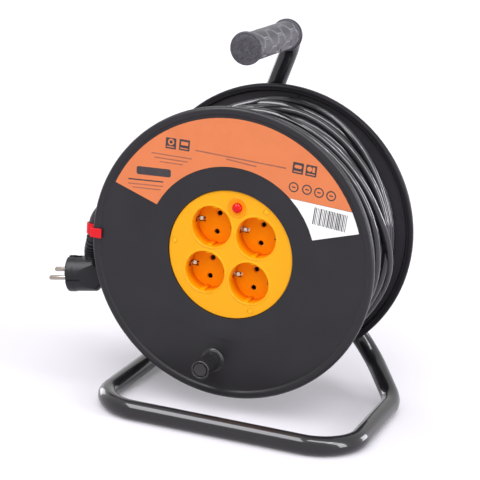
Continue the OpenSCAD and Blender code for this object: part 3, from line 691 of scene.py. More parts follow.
    def thing(self, name: str, finish: Finish, sharp: float = 32.0) -> Object:
        """Makes a plain object whose faces point outwards.

        Args:
            name: The object's name.
            finish: Its finish.
            sharp: Edges steeper than this many degrees stay sharp.

        Returns:
            The object, linked to the scene.
        """
        mesh = bpy.data.meshes.new(name)
        mesh.from_pydata([tuple(p) for p in self.points], [], self.faces)
        layer = mesh.uv_layers.new(name="UVMap")
        layer.data.foreach_set("uv", [c for uvs in self.uvs for uv in uvs for c in uv])
        mesh.materials.append(finish.material())
        work = bmesh.new()
        work.from_mesh(mesh)
        bmesh.ops.remove_doubles(work, verts=work.verts, dist=1e-7)
        bmesh.ops.recalc_face_normals(work, faces=work.faces)
        work.to_mesh(mesh)
        work.free()
        smooth(mesh, sharp)
        return placed(name, mesh)

    def build(self, name: str, body: Body, finish: Finish, replaces: Sequence[str] = (),
              sharp: float = 32.0, bevel: float = 0.0) -> Object:
        """Makes the object and puts it on its body.

        Args:
            name: The piece's name.
            body: The body that it rides on.
            finish: Its finish.
            replaces: CAD nodes that it stands for.
            sharp: Edges steeper than this many degrees stay sharp.
            bevel: Width of a rounded edge, in millimetres, or 0.

        Returns:
            The object.
        """
        piece = self.thing(name, finish, sharp)
        if bevel:
            edge = piece.modifiers.new("edges", "BEVEL")
            edge.width, edge.segments, edge.angle_limit = bevel * MM, 3, radians(32)
            bake(piece)
            smooth(piece.data, sharp)
        return seat_piece(piece, body, replaces)


def seat_piece(piece: Object, body: Body, replaces: Sequence[str] = ()) -> Object:
    """Puts a piece on its body and hides the CAD nodes that it stands for.

    Args:
        piece: The finished piece.
        body: The body that it rides on.
        replaces: CAD nodes that it stands for.

    Returns:
        The piece.
    """
    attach(piece, body.value)
    if replaces:
        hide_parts(*replaces)
    LOG.info("%s on %s, %d faces", piece.name, body.value, len(piece.data.polygons))
    return piece


def arc(centre: Flat, radius: float, start: float, end: float, steps: int = 6) -> list[Flat]:
    """Rounds a corner of a profile.

    Args:
        centre: The corner's middle.
        radius: Its radius.
        start: Degrees where it starts.
        end: Degrees where it ends.
        steps: How many steps it has.

    Returns:
        Its points.
    """
    return [(centre[0] + radius * cos(radians(start + (end - start) * i / steps)),
             centre[1] + radius * sin(radians(start + (end - start) * i / steps)))
            for i in range(steps + 1)]


def rounded_route(points: Sequence[Vector], bends: Sequence[float], step: float = 4.0
                  ) -> list[Vector]:
    """Rounds a route's corners.

    Args:
        points: The corners, in millimetres.
        bends: The bend radius at each inner corner.
        step: Degrees between points of a bend.

    Returns:
        The points of the rounded route.
    """
    out = [points[0].copy()]
    for i in range(1, len(points) - 1):
        d1 = (points[i] - points[i - 1]).normalized()
        d2 = (points[i + 1] - points[i]).normalized()
        turn = d1.angle(d2)
        n = (d2 - d1.dot(d2) * d1).normalized()
        centre = points[i] - bends[i - 1] * tan(turn / 2) * d1 + bends[i - 1] * n
        count = max(2, ceil(degrees(turn) / step))
        for k in range(count + 1):
            a = turn * k / count
            out.append(centre + bends[i - 1] * (sin(a) * d1 - cos(a) * n))
    out.append(points[-1].copy())
    return out


def ribbon(way: Sequence[Flat], thick: float) -> list[Flat]:
    """Draws the outline of a bent strip.

    Args:
        way: The middle line.
        thick: The thickness.

    Returns:
        The outline, once round.
    """
    left, right = [], []
    for i, (x, y) in enumerate(way):
        (x0, y0), (x1, y1) = way[max(i - 1, 0)], way[min(i + 1, len(way) - 1)]
        long = hypot(x1 - x0, y1 - y0)
        nx, ny = (y0 - y1) / long * thick / 2, (x1 - x0) / long * thick / 2
        left.append((x + nx, y + ny))
        right.append((x - nx, y - ny))
    return left + right[::-1]


# ---------- studio


@dataclass
class Studio:
    """Camera, floor and soft light."""

    eye: Point = (0.61795, -1.72455, 0.6994)
    right: Point = (0.9317, 0.358, 0.0615)
    up: Point = (-0.1558, 0.2408, 0.958)
    forward: Point = (-0.3282, 0.9021, -0.2801)
    lens: float = 145.35
    sensor: float = 36.0
    clip: Flat = (0.05, 60.0)
    world_level: float = 0.62
    gloss_level: float = 1.0
    floor_colour: Colour = (0.735, 0.71, 0.775)
    floor_lift: float = 0.15
    floor_x: Flat = (-9.0, 9.0)
    floor_y: Flat = (-7.0, 11.0)
    strip_colour: Colour = (0.96, 0.95, 1.0)
    suns: tuple[tuple[str, Point, float, float], ...] = (
        ("lamp_left", (-1.0, 0.45, 0.2), 1.1, 45),
        ("lamp_right", (1.0, 0.0, 0.42), 1.45, 26),
        ("lamp_front", (0.05, -0.75, 0.85), 0.9, 42),
        ("lamp_top", (0.1, -0.35, 1.0), 1.05, 75))
    strips: tuple[tuple[str, Point, float, float, float, float], ...] = (
        ("strip_left", (-0.33, -0.43, 0.83), 1.5, 0.55, 1.05, 10.0),
        ("strip_top", (0.24, -0.3, 0.97), 3.0, 1.9, 0.8, 11.0),
        ("strip_right", (0.73, -0.3, 0.68), 3.0, 1.9, 0.8, 11.0),
        ("strip_side", (0.98, -0.3, 0.21), 3.0, 1.6, 0.8, 11.0),
        ("strip_rear_left", (-0.85, 0.5, 0.2), 3.0, 1.5, 1.0, 5.0),
        ("strip_rear_right", (0.72, 0.68, 0.2), 3.0, 1.5, 1.0, 9.0))

    def camera(self) -> None:
        """Sets the camera."""
        data = bpy.data.cameras.new("camera")
        data.lens, data.sensor_width = self.lens, self.sensor
        data.clip_start, data.clip_end = self.clip
        camera = placed("camera", data)
        turn = Matrix([self.right, self.up, [-c for c in self.forward]]).transposed()
        camera.matrix_world = Matrix.Translation(self.eye) @ turn.to_4x4()
        bpy.context.scene.camera = camera

    def floor(self) -> None:
        """Lays the floor, whose plain pale colour keeps the shadow."""
        mesh = bpy.data.meshes.new("floor")
        (x0, x1), (y0, y1) = self.floor_x, self.floor_y
        mesh.from_pydata([(x0, y0, 0), (x1, y0, 0), (x1, y1, 0), (x0, y1, 0)], [], [(0, 1, 2, 3)])
        tree = ShaderTree("floor_paper")
        rays = tree.node("LightPath").outputs
        seen = tree.maths("MAXIMUM", rays["Is Camera Ray"], tree.maths(
            "MAXIMUM", rays["Is Glossy Ray"], rays["Is Transmission Ray"]))
        diffuse = tree.node("BsdfDiffuse", {"Color": (*self.floor_colour, 1.0)})
        lift = tree.node("Emission", {"Color": (1, 1, 1, 1), "Strength": tree.maths(
            "MULTIPLY", seen, self.floor_lift)})
        both = tree.node("AddShader", {0: diffuse.outputs[0], 1: lift.outputs[0]})
        tree.put(tree.out.inputs[0], both.outputs[0])
        mesh.materials.append(tree.material)
        floor = placed("floor", mesh)

    def strip(self, name: str, way: Point, reach: float, along: float, across: float,
              level: float) -> None:
        """Hangs a panel over the reel that only its glossy surfaces mirror.

        Args:
            name: The panel's name.
            way: The direction in which it hangs.
            reach: How far away it hangs, in metres.
            along: Metres that it measures from left to right.
            across: Metres that it measures from front to back.
            level: Its brightness, where white paper has one.
        """
        line = Vector(way).normalized()
        lamp = bpy.data.lights.new(name, "AREA")
        lamp.shape, lamp.size, lamp.size_y = "RECTANGLE", along, across
        lamp.energy, lamp.color = pi * along * across * level, self.strip_colour
        panel = placed(name, lamp)
        y = (Vector((0, 1, 0)) - line.y * line).normalized()
        turn = Matrix([y.cross(line), y, line]).transposed()
        panel.matrix_world = Matrix.Translation(reach * line) @ turn.to_4x4()
        panel.visible_camera = panel.visible_diffuse = False

    def light(self) -> None:
        """Sets the world and the soft lamps."""
        world = bpy.data.worlds.new("studio")
        world.use_nodes = True
        bpy.context.scene.world = world
        tree = NodeTree(world.node_tree)
        rays = tree.node("ShaderNodeLightPath").outputs
        strength: object = self.world_level
        for kind, level in (("Is Glossy Ray", self.gloss_level), ("Is Camera Ray", 1.0),
                            ("Is Transmission Ray", 1.0)):
            strength = tree.node("ShaderNodeMapRange", {0: rays[kind], 3: strength,
                                                        4: level}).outputs[0]
        back = tree.tree.nodes["Background"]
        tree.put(back.inputs["Color"], (1, 1, 1, 1))
        tree.put(back.inputs["Strength"], strength)
        for name, way, energy, spread in self.suns:
            lamp = bpy.data.lights.new(name, "SUN")
            lamp.energy, lamp.angle = energy, radians(spread)
            sun = placed(name, lamp)
            sun.rotation_euler = Vector(way).to_track_quat("Z", "Y").to_euler()
            sun.visible_glossy = False
        for strip in self.strips:
            self.strip(*strip)

    def build(self) -> None:
        """Sets the whole studio."""
        bpy.context.scene.view_settings.view_transform = "Standard"
        self.camera()
        self.floor()
        self.light()


# ---------- copies


class CopyTree(NodeTree):
    """A Geometry Nodes tree that sets out copies and ends in plain, dressed geometry."""

    def __init__(self, name: str, inputs: Sequence[tuple[str, str]]) -> None:
        """Starts a tree.

        Args:
            name: The tree's name.
            inputs: Name and socket type of each input, besides the shape and its finish.
        """
        super().__init__(bpy.data.node_groups.new(name, "GeometryNodeTree"))
        sockets = self.tree.interface
        for label, kind in (("Geometry", "Geometry"), ("Copy", "Object"), *inputs,
                            ("Finish", "Material")):
            sockets.new_socket(label, in_out="INPUT", socket_type="NodeSocket" + kind)
        sockets.new_socket("Geometry", in_out="OUTPUT", socket_type="NodeSocketGeometry")
        self.given = self.node("NodeGroupInput").outputs

    def about_y(self, angle: Socket) -> Socket:
        """Gives the turn by an angle about the Y axis."""
        return self.node("FunctionNodeAxisAngleToRotation",
                         {"Axis": (0, 1, 0), "Angle": angle}).outputs[0]

    def copies(self, points: Socket, **turned: Socket) -> Socket:
        """Sets the shape on points.

        Args:
            points: The points.
            turned: The rotation or scale of each copy.

        Returns:
            The copies.
        """
        shape = self.node("GeometryNodeObjectInfo", {"Object": self.given["Copy"]})
        return self.node("GeometryNodeInstanceOnPoints", {
            "Points": points, "Instance": shape.outputs["Geometry"], **turned}).outputs[0]

    def close(self, copies: Socket, **place: Socket) -> None:
        """Puts the copies in place and ends in Realize Instances and Set Material.

        Args:
            copies: The copies.
            place: The translation and rotation of them all, if any.
        """
        if place:
            copies = self.node("GeometryNodeTransform", {"Geometry": copies, **place}).outputs[0]
        real = self.node("GeometryNodeRealizeInstances", {"Geometry": copies})
        dressed = self.node("GeometryNodeSetMaterial", {"Geometry": real.outputs[0],
                                                        "Material": self.given["Finish"]})
        self.node("NodeGroupOutput", {0: dressed.outputs[0]})

    def make(self, name: str, copy: Shape | Object, finish: Finish,
             values: dict[str, object], mesh: bpy.types.Mesh | None = None) -> Object:
        """Runs the tree and gives a plain object.

        Args:
            name: The object's name.
            copy: The shape that is copied, which is used up.
            finish: The finish of the copies.
            values: Values of the tree's other inputs, by name.
            mesh: The mesh that the tree starts from, if it needs one.

        Returns:
            The object, without its modifier.
        """
        if isinstance(copy, Shape):
            copy = copy.thing("copy", finish)
        piece = placed(name, mesh or bpy.data.meshes.new(name))
        run = piece.modifiers.new("copies", "NODES")
        run.node_group = self.tree
        values = {**values, "Copy": copy, "Finish": finish.material()}
        for item in self.tree.interface.items_tree:
            if item.in_out == "INPUT" and item.name in values:
                run[item.identifier] = values[item.name]
        bake(piece, copy)
        return piece


@cache
def ring_tree() -> CopyTree:
    """Builds the tree that turns copies about a line along Y.

    Returns:
        The tree, with the inputs Count, Start, Sweep and Axis.
    """
    tree = CopyTree("copies_round_axis", (("Count", "Int"), ("Start", "Float"),
                                          ("Sweep", "Float"), ("Axis", "Vector")))
    index = tree.node("GeometryNodeInputIndex").outputs[0]
    step = tree.maths("DIVIDE", tree.given["Sweep"], tree.given["Count"])
    angle = tree.maths("ADD", tree.given["Start"], tree.maths("MULTIPLY", index, step))
    line = tree.node("GeometryNodeMeshLine", {"Count": tree.given["Count"],
                                              "Offset": (0, 0, 0)})
    tree.close(tree.copies(line.outputs[0], Rotation=tree.about_y(angle)),
               Translation=tree.given["Axis"])
    return tree


@cache
def grid_tree() -> CopyTree:
    """Builds the tree that sets copies on a square grid that is turned with the drum.

    Returns:
        The tree, with the inputs Across, Pitch, Turn and Axis.
    """
    tree = CopyTree("copies_on_grid", (("Across", "Int"), ("Pitch", "Float"),
                                       ("Turn", "Float"), ("Axis", "Vector")))
    across = tree.given["Across"]
    size = tree.maths("MULTIPLY", tree.given["Pitch"], tree.maths("SUBTRACT", across, 1.0))
    grid = tree.node("GeometryNodeMeshGrid", {"Size X": size, "Size Y": size,
                                              "Vertices X": across, "Vertices Y": across})
    upright = tree.node("GeometryNodeTransform", {"Geometry": grid.outputs[0],
                                                  "Rotation": (pi / 2, 0, 0)})
    tree.close(tree.copies(upright.outputs[0]), Translation=tree.given["Axis"],
               Rotation=tree.about_y(tree.given["Turn"]))
    return tree


@cache
def path_tree() -> CopyTree:
    """Builds the tree that threads growing copies on a line, square to it.

    Returns:
        The tree, with the inputs Count, First Scale and Last Scale.
    """
    tree = CopyTree("copies_on_path", (("Count", "Int"), ("First Scale", "Float"),
                                       ("Last Scale", "Float")))
    curve = tree.node("GeometryNodeMeshToCurve", {0: tree.given["Geometry"]})
    points = tree.node("GeometryNodeCurveToPoints", {"Curve": curve.outputs[0],
                                                     "Count": tree.given["Count"]}).outputs
    index = tree.node("GeometryNodeInputIndex").outputs[0]
    share = tree.maths("DIVIDE", index, tree.maths("SUBTRACT", tree.given["Count"], 1.0))
    grow = tree.node("ShaderNodeMapRange", {0: share, 3: tree.given["First Scale"],
                                            4: tree.given["Last Scale"]}).outputs[0]
    wide = tree.node("ShaderNodeCombineXYZ", {0: grow, 1: grow, 2: 1.0})
    tree.close(tree.copies(points["Points"], Rotation=points["Rotation"],
                           Scale=wide.outputs[0]))
    return tree


@cache
def bar_tree() -> CopyTree:
    """Builds the tree that sets plain bars of uneven width side by side.

    Returns:
        The tree, with the inputs Count, Pitch, Thin, Thick, Seed, Turn and Place.
    """
    tree = CopyTree("bars_in_row", (("Count", "Int"), ("Pitch", "Float"), ("Thin", "Float"),
                                    ("Thick", "Float"), ("Seed", "Int"), ("Turn", "Float"),
                                    ("Place", "Vector")))
    step = tree.node("ShaderNodeCombineXYZ", {0: tree.given["Pitch"]})
    line = tree.node("GeometryNodeMeshLine", {"Count": tree.given["Count"],
                                              "Offset": step.outputs[0]})
    width = tree.node("FunctionNodeRandomValue", {
        2: tree.given["Thin"], 3: tree.given["Thick"], 8: tree.given["Seed"]}, data_type="FLOAT")
    size = tree.node("ShaderNodeCombineXYZ", {0: width.outputs[1], 1: 1.0, 2: 1.0})
    tree.close(tree.copies(line.outputs[0], Scale=size.outputs[0]),
               Translation=tree.given["Place"], Rotation=tree.about_y(tree.given["Turn"]))
    return tree


def set_round(name: str, copy: Shape | Object, finish: Finish, count: int, start: float,
              replaces: Sequence[str] = (), body: Body = Body.DRUM,
              axis: Point = (0.0, 0.0, 0.0)) -> None:
    """Sets copies of a shape round a line along Y.

    Args:
        name: The piece's name.
        copy: The shape, drawn with the line through the origin.
        finish: Its finish.
        count: How many copies there are.
        start: Radians from the top to the first of them.
        replaces: CAD nodes that they stand for.
        body: The body that they ride on.
        axis: A point of the line, in the drum's frame.
    """
    piece = ring_tree().make(name, copy, finish, {
        "Count": count, "Start": start, "Sweep": tau, "Axis": SEAT.on_drum(axis)})
    seat_piece(piece, body, replaces)


def loose(p: Point) -> Vector:
    """Takes millimetres to metres, for a shape that a tree will set in place."""
    return Vector(p) * MM


# ---------- cable


@dataclass
class WoundCable:
    """Fifty metres of cable on the drum, in five close layers and a loose one."""

    cable_d: float = 8.4
    barrel_r: float = 88.0
    front: float = 2.6
    rear: float = 133.6
    clear: float = 0.1
    wall_gap: float = 0.3
    layers: int = 5
    layer_rise: float = 7.05
    layer_turns: float = 13.5
    outer_r: float = 126.4
    outer_dip: float = 2.0
    leave_angle: float = -51.8
    leave_y: float = 24.1
    lead_turn: float = 70.0
    lead_y: float = 3.0
    lead_sink: float = 11.0
    coarse: float = 15.0
    medium: float = 7.5
    fine: float = 5.0
    sides: int = 16
    loose_start: float = 290.0

    # One row for each turn of the loose layer: the angle on the drum, Y and rise.
    strands: ClassVar[tuple[tuple[Point, ...], ...]] = (
        ((110, 122, -1), (90, 120.5, -1), (70, 120.5, -1), (50, 118, -1.5), (30, 119, -1.5),
         (10, 121, -1), (-15, 120, 0), (-60, 122, 0), (-150, 124, 0)),
        ((110, 114, 0), (90, 109, 0), (70, 108, 0.5), (54, 111, 2), (41, 114.5, 4),
         (29, 122, 4.5), (14, 128, 4.5), (-2, 126, 3.5), (-18, 116, 1), (-60, 108, 0),
         (-150, 110, 0)),
        ((110, 107, 0), (90, 102, 0), (64, 99, 0), (47, 98.5, 0), (35, 100.5, 0),
         (14, 104, 0), (0, 97, 0), (-12, 90, 0), (-60, 86, 0), (-150, 98, 1)),
        ((110, 117, 4), (98, 108, 4.5), (86, 97, 2.5), (72, 84.5, 0), (60, 76, 0),
         (47, 69, 0), (30, 67, 0), (10, 73, 0), (-8, 78, 0), (-60, 76, 0), (-150, 78, 0)),
        ((107, 80, 0), (85, 68, 0), (70, 61, 0), (55, 55, 0), (37, 50, 0), (15, 51, 0),
         (-5, 57, 0), (-60, 52, 0), (-150, 50, 0)),
        ((110, 54, 0), (91, 48, 0), (73, 42, 0), (57, 37, 0), (41, 32.5, 0), (20, 30, 0),
         (-10, 27, 0), (-30, 25.3, 0)))

    def outer_knots(self) -> list[Point]:
        """Lists the loose layer's way: degrees of travel, Y and rise.

        Returns:
            Knots from the rear, where the layer starts, to the front.
        """
        knots = [(0.0, self.rear - 6.2, -2.0), (60.0, 125.5, -1.0)]
        for turn, strand in enumerate(self.strands):
            knots += [(self.loose_start - angle + 360.0 * turn, y, rise)
                      for angle, y, rise in strand]
        end = self.loose_start + 360.0 * (len(self.strands) - 1) - self.leave_angle
        return knots + [(end, self.leave_y, 0.0), (end + 20.0, self.leave_y - 0.9, 0.0)]

    def close_place(self, travel: float, loose_y: float) -> Flat:
        """Finds Y and radius of the close layers after so many degrees of travel.

        Args:
            travel: Degrees from the first layer's start, below 0 on the way in.
            loose_y: Where the loose layer starts.

        Returns:
            Y and the distance from the axis.
        """
        half, turn, lead = self.cable_d / 2, 360.0 * self.layer_turns, self.lead_turn
        first_r = self.barrel_r + half + self.clear
        low, high = self.front + half + self.wall_gap, self.rear - half - self.wall_gap
        if travel < 0:
            sink = ease(-travel / lead)
            return low + self.lead_y * sink, first_r - self.lead_sink * sink
        layer = int(travel // turn)
        k = (travel - layer * turn) / turn
        y = low + (high - low) * (k if layer % 2 == 0 else 1 - k)
        r = first_r + self.layer_rise * layer
        climb = ease(((k - 1) * turn + lead) / lead)
        if layer < self.layers - 1:
            return y, r + climb * self.layer_rise
        return y + (loose_y - high) * climb, r + climb * (self.outer_r - self.outer_dip - r)

    def line(self) -> list[Vector]:
        """Follows the cable from inside the barrel to where it leaves the winding.

        Returns:
            Points of the middle line, in the row frame.
        """
        knots = self.outer_knots()
        turn = 360.0 * self.layer_turns
        close = self.layers * turn
        total = close + knots[-2][0]
        out: list[Vector] = []
        travel = -self.lead_turn
        while True:
            if travel < close:
                y, r = self.close_place(travel, knots[0][1])
                step = self.coarse if travel < close - turn else self.medium
            else:
                y, rise = smooth_line(knots, travel - close)
                r, step = self.outer_r + rise, self.fine
            q = radians(self.leave_angle + total - travel)
            out.append(SEAT.point((r * sin(q), y, r * cos(q))))
            if travel >= total:
                return out
            travel = min(travel + step, total)

    def build(self) -> Vector:
        """Builds the winding.

        Returns:
            Where its middle line ends.
        """
        line = self.line()
        shape = Shape()
        shape.tube(line, [self.cable_d / 2 * MM] * len(line), self.sides)
        piece = shape.build("cable_winding", Body.DRUM, SHEATH, ("cable_core", "cable_turns"),
                            sharp=60)
        length = sum((b - a).length for a, b in zip(line, line[1:]))
        LOG.info("winding: %.2f m in %d points", length, len(line))
        tuple(line[0])
        [tuple(p) for p in line]
        return line[-1]


@dataclass
class FreeEnd:
    """The cable from the winding through the clip's ring to its plug."""

    cable_d: float = 8.4
    wind_r: float = 126.4
    wind_y: float = 24.1
    ring_r: float = 150.8
    ring_y: float = 12.8
    ring_h: float = 11.0
    bend: float = 30.0
    low: float = 2.0
    plug_at: Point = (-181.8, 30.0, -57.4)
    plug_turn: Point = (10.8, -7.6, 7.6)
    plug_entry: float = 25.5
    neck: float = 18.6
    lead: float = 11.0
    ring_gap: float = 1.5
    bow_steps: int = 14
    bend_steps: int = 10
    sleeve_steps: int = 160
    sleeve_r: float = 4.5
    sleeve_grow: float = 0.5
    cord_every: int = 8
    ribs: int = 7
    rib_scale: Flat = (0.95, 1.12)
    ribs_from: int = 12
    ribs_to: int = -10

    def plug_matrix(self) -> Matrix:
        """Turns the plug's own frame to the frame of the clip.

        Returns:
            The turn.
        """
        x, y, z = (radians(a) for a in self.plug_turn)
        return (Matrix.Rotation(z, 3, "Z") @ Matrix.Rotation(y, 3, "Y")
                @ Matrix.Rotation(x, 3, "X"))

    def at_plug(self, p: Sequence[float]) -> Vector:
        """Takes a point of the plug's frame to the row frame."""
        return SEAT.at_clip(Vector(self.plug_at) + self.plug_matrix() @ Vector(p))

    def sleeve_line(self) -> list[Vector]:
        """Follows the sleeve's middle from the ring to the plug, in the clip's frame.

        Returns:
            Its points, in millimetres.
        """
        top = Vector((-self.ring_r, self.ring_y, -self.ring_h / 2 - self.ring_gap))
        end = Vector(self.plug_at) + self.plug_matrix() @ Vector((self.plug_entry, 0, self.neck))
        a = top + Vector((0, 0, -self.lead))
        b = end - self.lead * (self.plug_matrix() @ Vector((0, 0, -1)))
        out = []
        for i in range(self.sleeve_steps + 1):
            t = i / self.sleeve_steps
            s = 1 - t
            out.append(s**3 * top + 3 * s * s * t * a + 3 * s * t * t * b + t**3 * end)
        return out

    def tail_line(self) -> list[Vector]:
        """Follows the tail's middle from the winding to the ring, in the clip's frame.

        Returns:
            Its points, in millimetres.
        """
        reach = hypot(self.ring_r - self.bend, self.low)
        lean = atan2(self.low, self.ring_r - self.bend) + acos(
            (self.wind_r - self.bend) / reach)
        start = Vector((-cos(lean), 0, sin(lean))) * self.wind_r
        mid = Vector((-self.ring_r + self.bend, 0, self.low))
        bow = mid + self.bend * Vector((-cos(lean), 0, sin(lean)))
        flat = [start.lerp(bow, i / self.bow_steps) for i in range(self.bow_steps + 1)]
        for i in range(1, self.bend_steps + 1):
            a = lean * (1 - i / self.bend_steps)
            flat.append(mid + self.bend * Vector((-cos(a), 0, sin(a))))
        last = len(flat) - 4
        return [p + Vector((0, self.wind_y + (self.ring_y - self.wind_y)
                            * ease(min(1.0, i / last)), 0)) for i, p in enumerate(flat)]

    def build(self, start: Vector) -> None:
        """Args:
            start: Where the winding's middle line ends.
        """
        tail = [SEAT.at_clip(p) for p in self.tail_line()]
        sleeve = [SEAT.at_clip(p) for p in self.sleeve_line()]
        line = [start] + tail[1:] + sleeve[::self.cord_every]
        shape = Shape()
        shape.tube(line, [self.cable_d / 2 * MM] * len(line), 24)
        cord = shape.build("cable_tail_end", Body.STAND, SHEATH, ("cable_tail",), sharp=60)
        length = sum((b - a).length for a, b in zip(line, line[1:]))
        LOG.info("free end: %.3f m", length)
        core = Shape()
        core.tube(sleeve, [(self.sleeve_r + self.sleeve_grow * i / len(sleeve)) * MM
                           for i in range(len(sleeve))], 32)
        grommet = core.build("sleeve_core", Body.STAND, PLUG, ("strain_relief",), sharp=40)
        rib = Shape()
        rib.lathe([(4.3, -1.45), (5.8, -1.3), (6.1, -1.0), (6.1, 1.0), (5.8, 1.3), (4.3, 1.45)],
                  lambda p: loose((p[0], -p[2], p[1])), 40, ring=True)
        ribbed = sleeve[self.ribs_from:self.ribs_to]
        way = bpy.data.meshes.new("sleeve_ribs")
        way.from_pydata(ribbed, [(i, i + 1) for i in range(len(ribbed) - 1)], [])
        first, last = self.rib_scale
        ribs = path_tree().make("sleeve_ribs", rib, PLUG, {
            "Count": self.ribs, "First Scale": first, "Last Scale": last}, way)
        seat_piece(ribs, Body.STAND)
        tuple(line[0])
        [tuple(p) for p in line]


# ---------- stand


@dataclass
class TubeStand:
    """The bent tube with its welded leg."""

    tube_d: float = 19.0
    tube_y: float = 149.7
    loop_left: float = 111.0
    loop_right: float = 149.5
    loop_front: float = 57.6
    loop_bend: float = 44.0
    foot_bend: float = 34.0
    leg_bend: float = 45.0
    leg_lean: float = 0.845
    leg_back: float = 56.0
    leg_foot: float = 24.0
    post_lean: float = 0.322
    grip_x: float = 3.0
    grip_h: float = 196.4
    grip_rise: float = 2.2
    grip_bend: float = 27.0
    grip_l: float = 121.0
    grip_sag: float = 0.04
    cap_t: float = 3.0
    bead_r: float = 1.9
    bead_ripple: float = 0.22
    bead_gap: float = 0.3
    bead_steps: int = 96
    ripple_steps: int = 5

    def corners(self) -> list[Vector]:
        """Lists the tube's corners, from the grip's front end to the weld.

        Returns:
            The corners, in millimetres.
        """
        ground = -SEAT.axle_h + self.tube_d / 2
        post_top = -self.loop_left + self.post_lean * (self.grip_h - ground)
        weld_z = (self.post_lean * ground + self.loop_left) / (self.leg_lean + self.post_lean)
        rise = radians(self.grip_rise)
        base = Vector((self.grip_x, self.tube_y - self.grip_bend - 1,
                       self.grip_h + self.grip_sag * self.grip_bend))
        reach = self.grip_l - self.cap_t
        foot = ground + self.leg_foot
        return [base + reach * Vector((0, -cos(rise), sin(rise))),
                Vector((post_top, self.tube_y, self.grip_h)),
                Vector((-self.loop_left, self.tube_y, ground)),
                Vector((-self.loop_left, -self.loop_front, ground)),
                Vector((self.loop_right, -self.loop_front, ground)),
                Vector((self.loop_right, self.tube_y - self.leg_back, ground)),
                Vector((-self.leg_lean * foot, self.tube_y, foot)),
                Vector((-self.leg_lean * weld_z, self.tube_y, weld_z))]

    def weld(self) -> Shape:
        """Runs a rippled bead round the joint of leg and post.

        Returns:
            The bead.
        """
        corners = self.corners()
        leg = (corners[7] - corners[6]).normalized()
        post = (corners[1] - corners[2]).normalized()
        side = Vector((0, 1, 0))
        across = leg.cross(side).normalized()
        r = self.tube_d / 2 + self.bead_gap
        line, radii = [], []
        for k in range(self.bead_steps):
            a = tau * k / self.bead_steps
            start = corners[7] + r * (cos(a) * side + sin(a) * across)
            rel = start - corners[2]
            flat, way = rel - rel.dot(post) * post, leg - leg.dot(post) * post
            b, c = flat.dot(way), flat.dot(flat) - r**2
            root = max(b * b - way.dot(way) * c, 0.0)
            s = (-b - sqrt(root)) / way.dot(way)
            line.append(SEAT.point(start + s * leg))
            ripple = sin(tau * k / self.ripple_steps)
            radii.append((self.bead_r + self.bead_ripple * ripple) * MM)
        shape = Shape()
        shape.tube(line, radii, 12, (0, 0, 1), closed=True)
        return shape

    def build(self) -> None:
        """Builds the tube and its weld bead."""
        bends = [self.grip_bend, self.foot_bend, self.loop_bend, self.loop_bend,
                 self.leg_bend, self.leg_bend]
        route = [SEAT.point(p) for p in rounded_route(self.corners(), bends)]
        shape = Shape()
        shape.tube(route, [self.tube_d / 2 * MM] * len(route), 64, (0, 0, 1))
        shape.build("bent_tube", Body.STAND, ENAMEL, ("frame_tube",))
        self.weld().build("weld_bead", Body.STAND, ENAMEL, sharp=60)


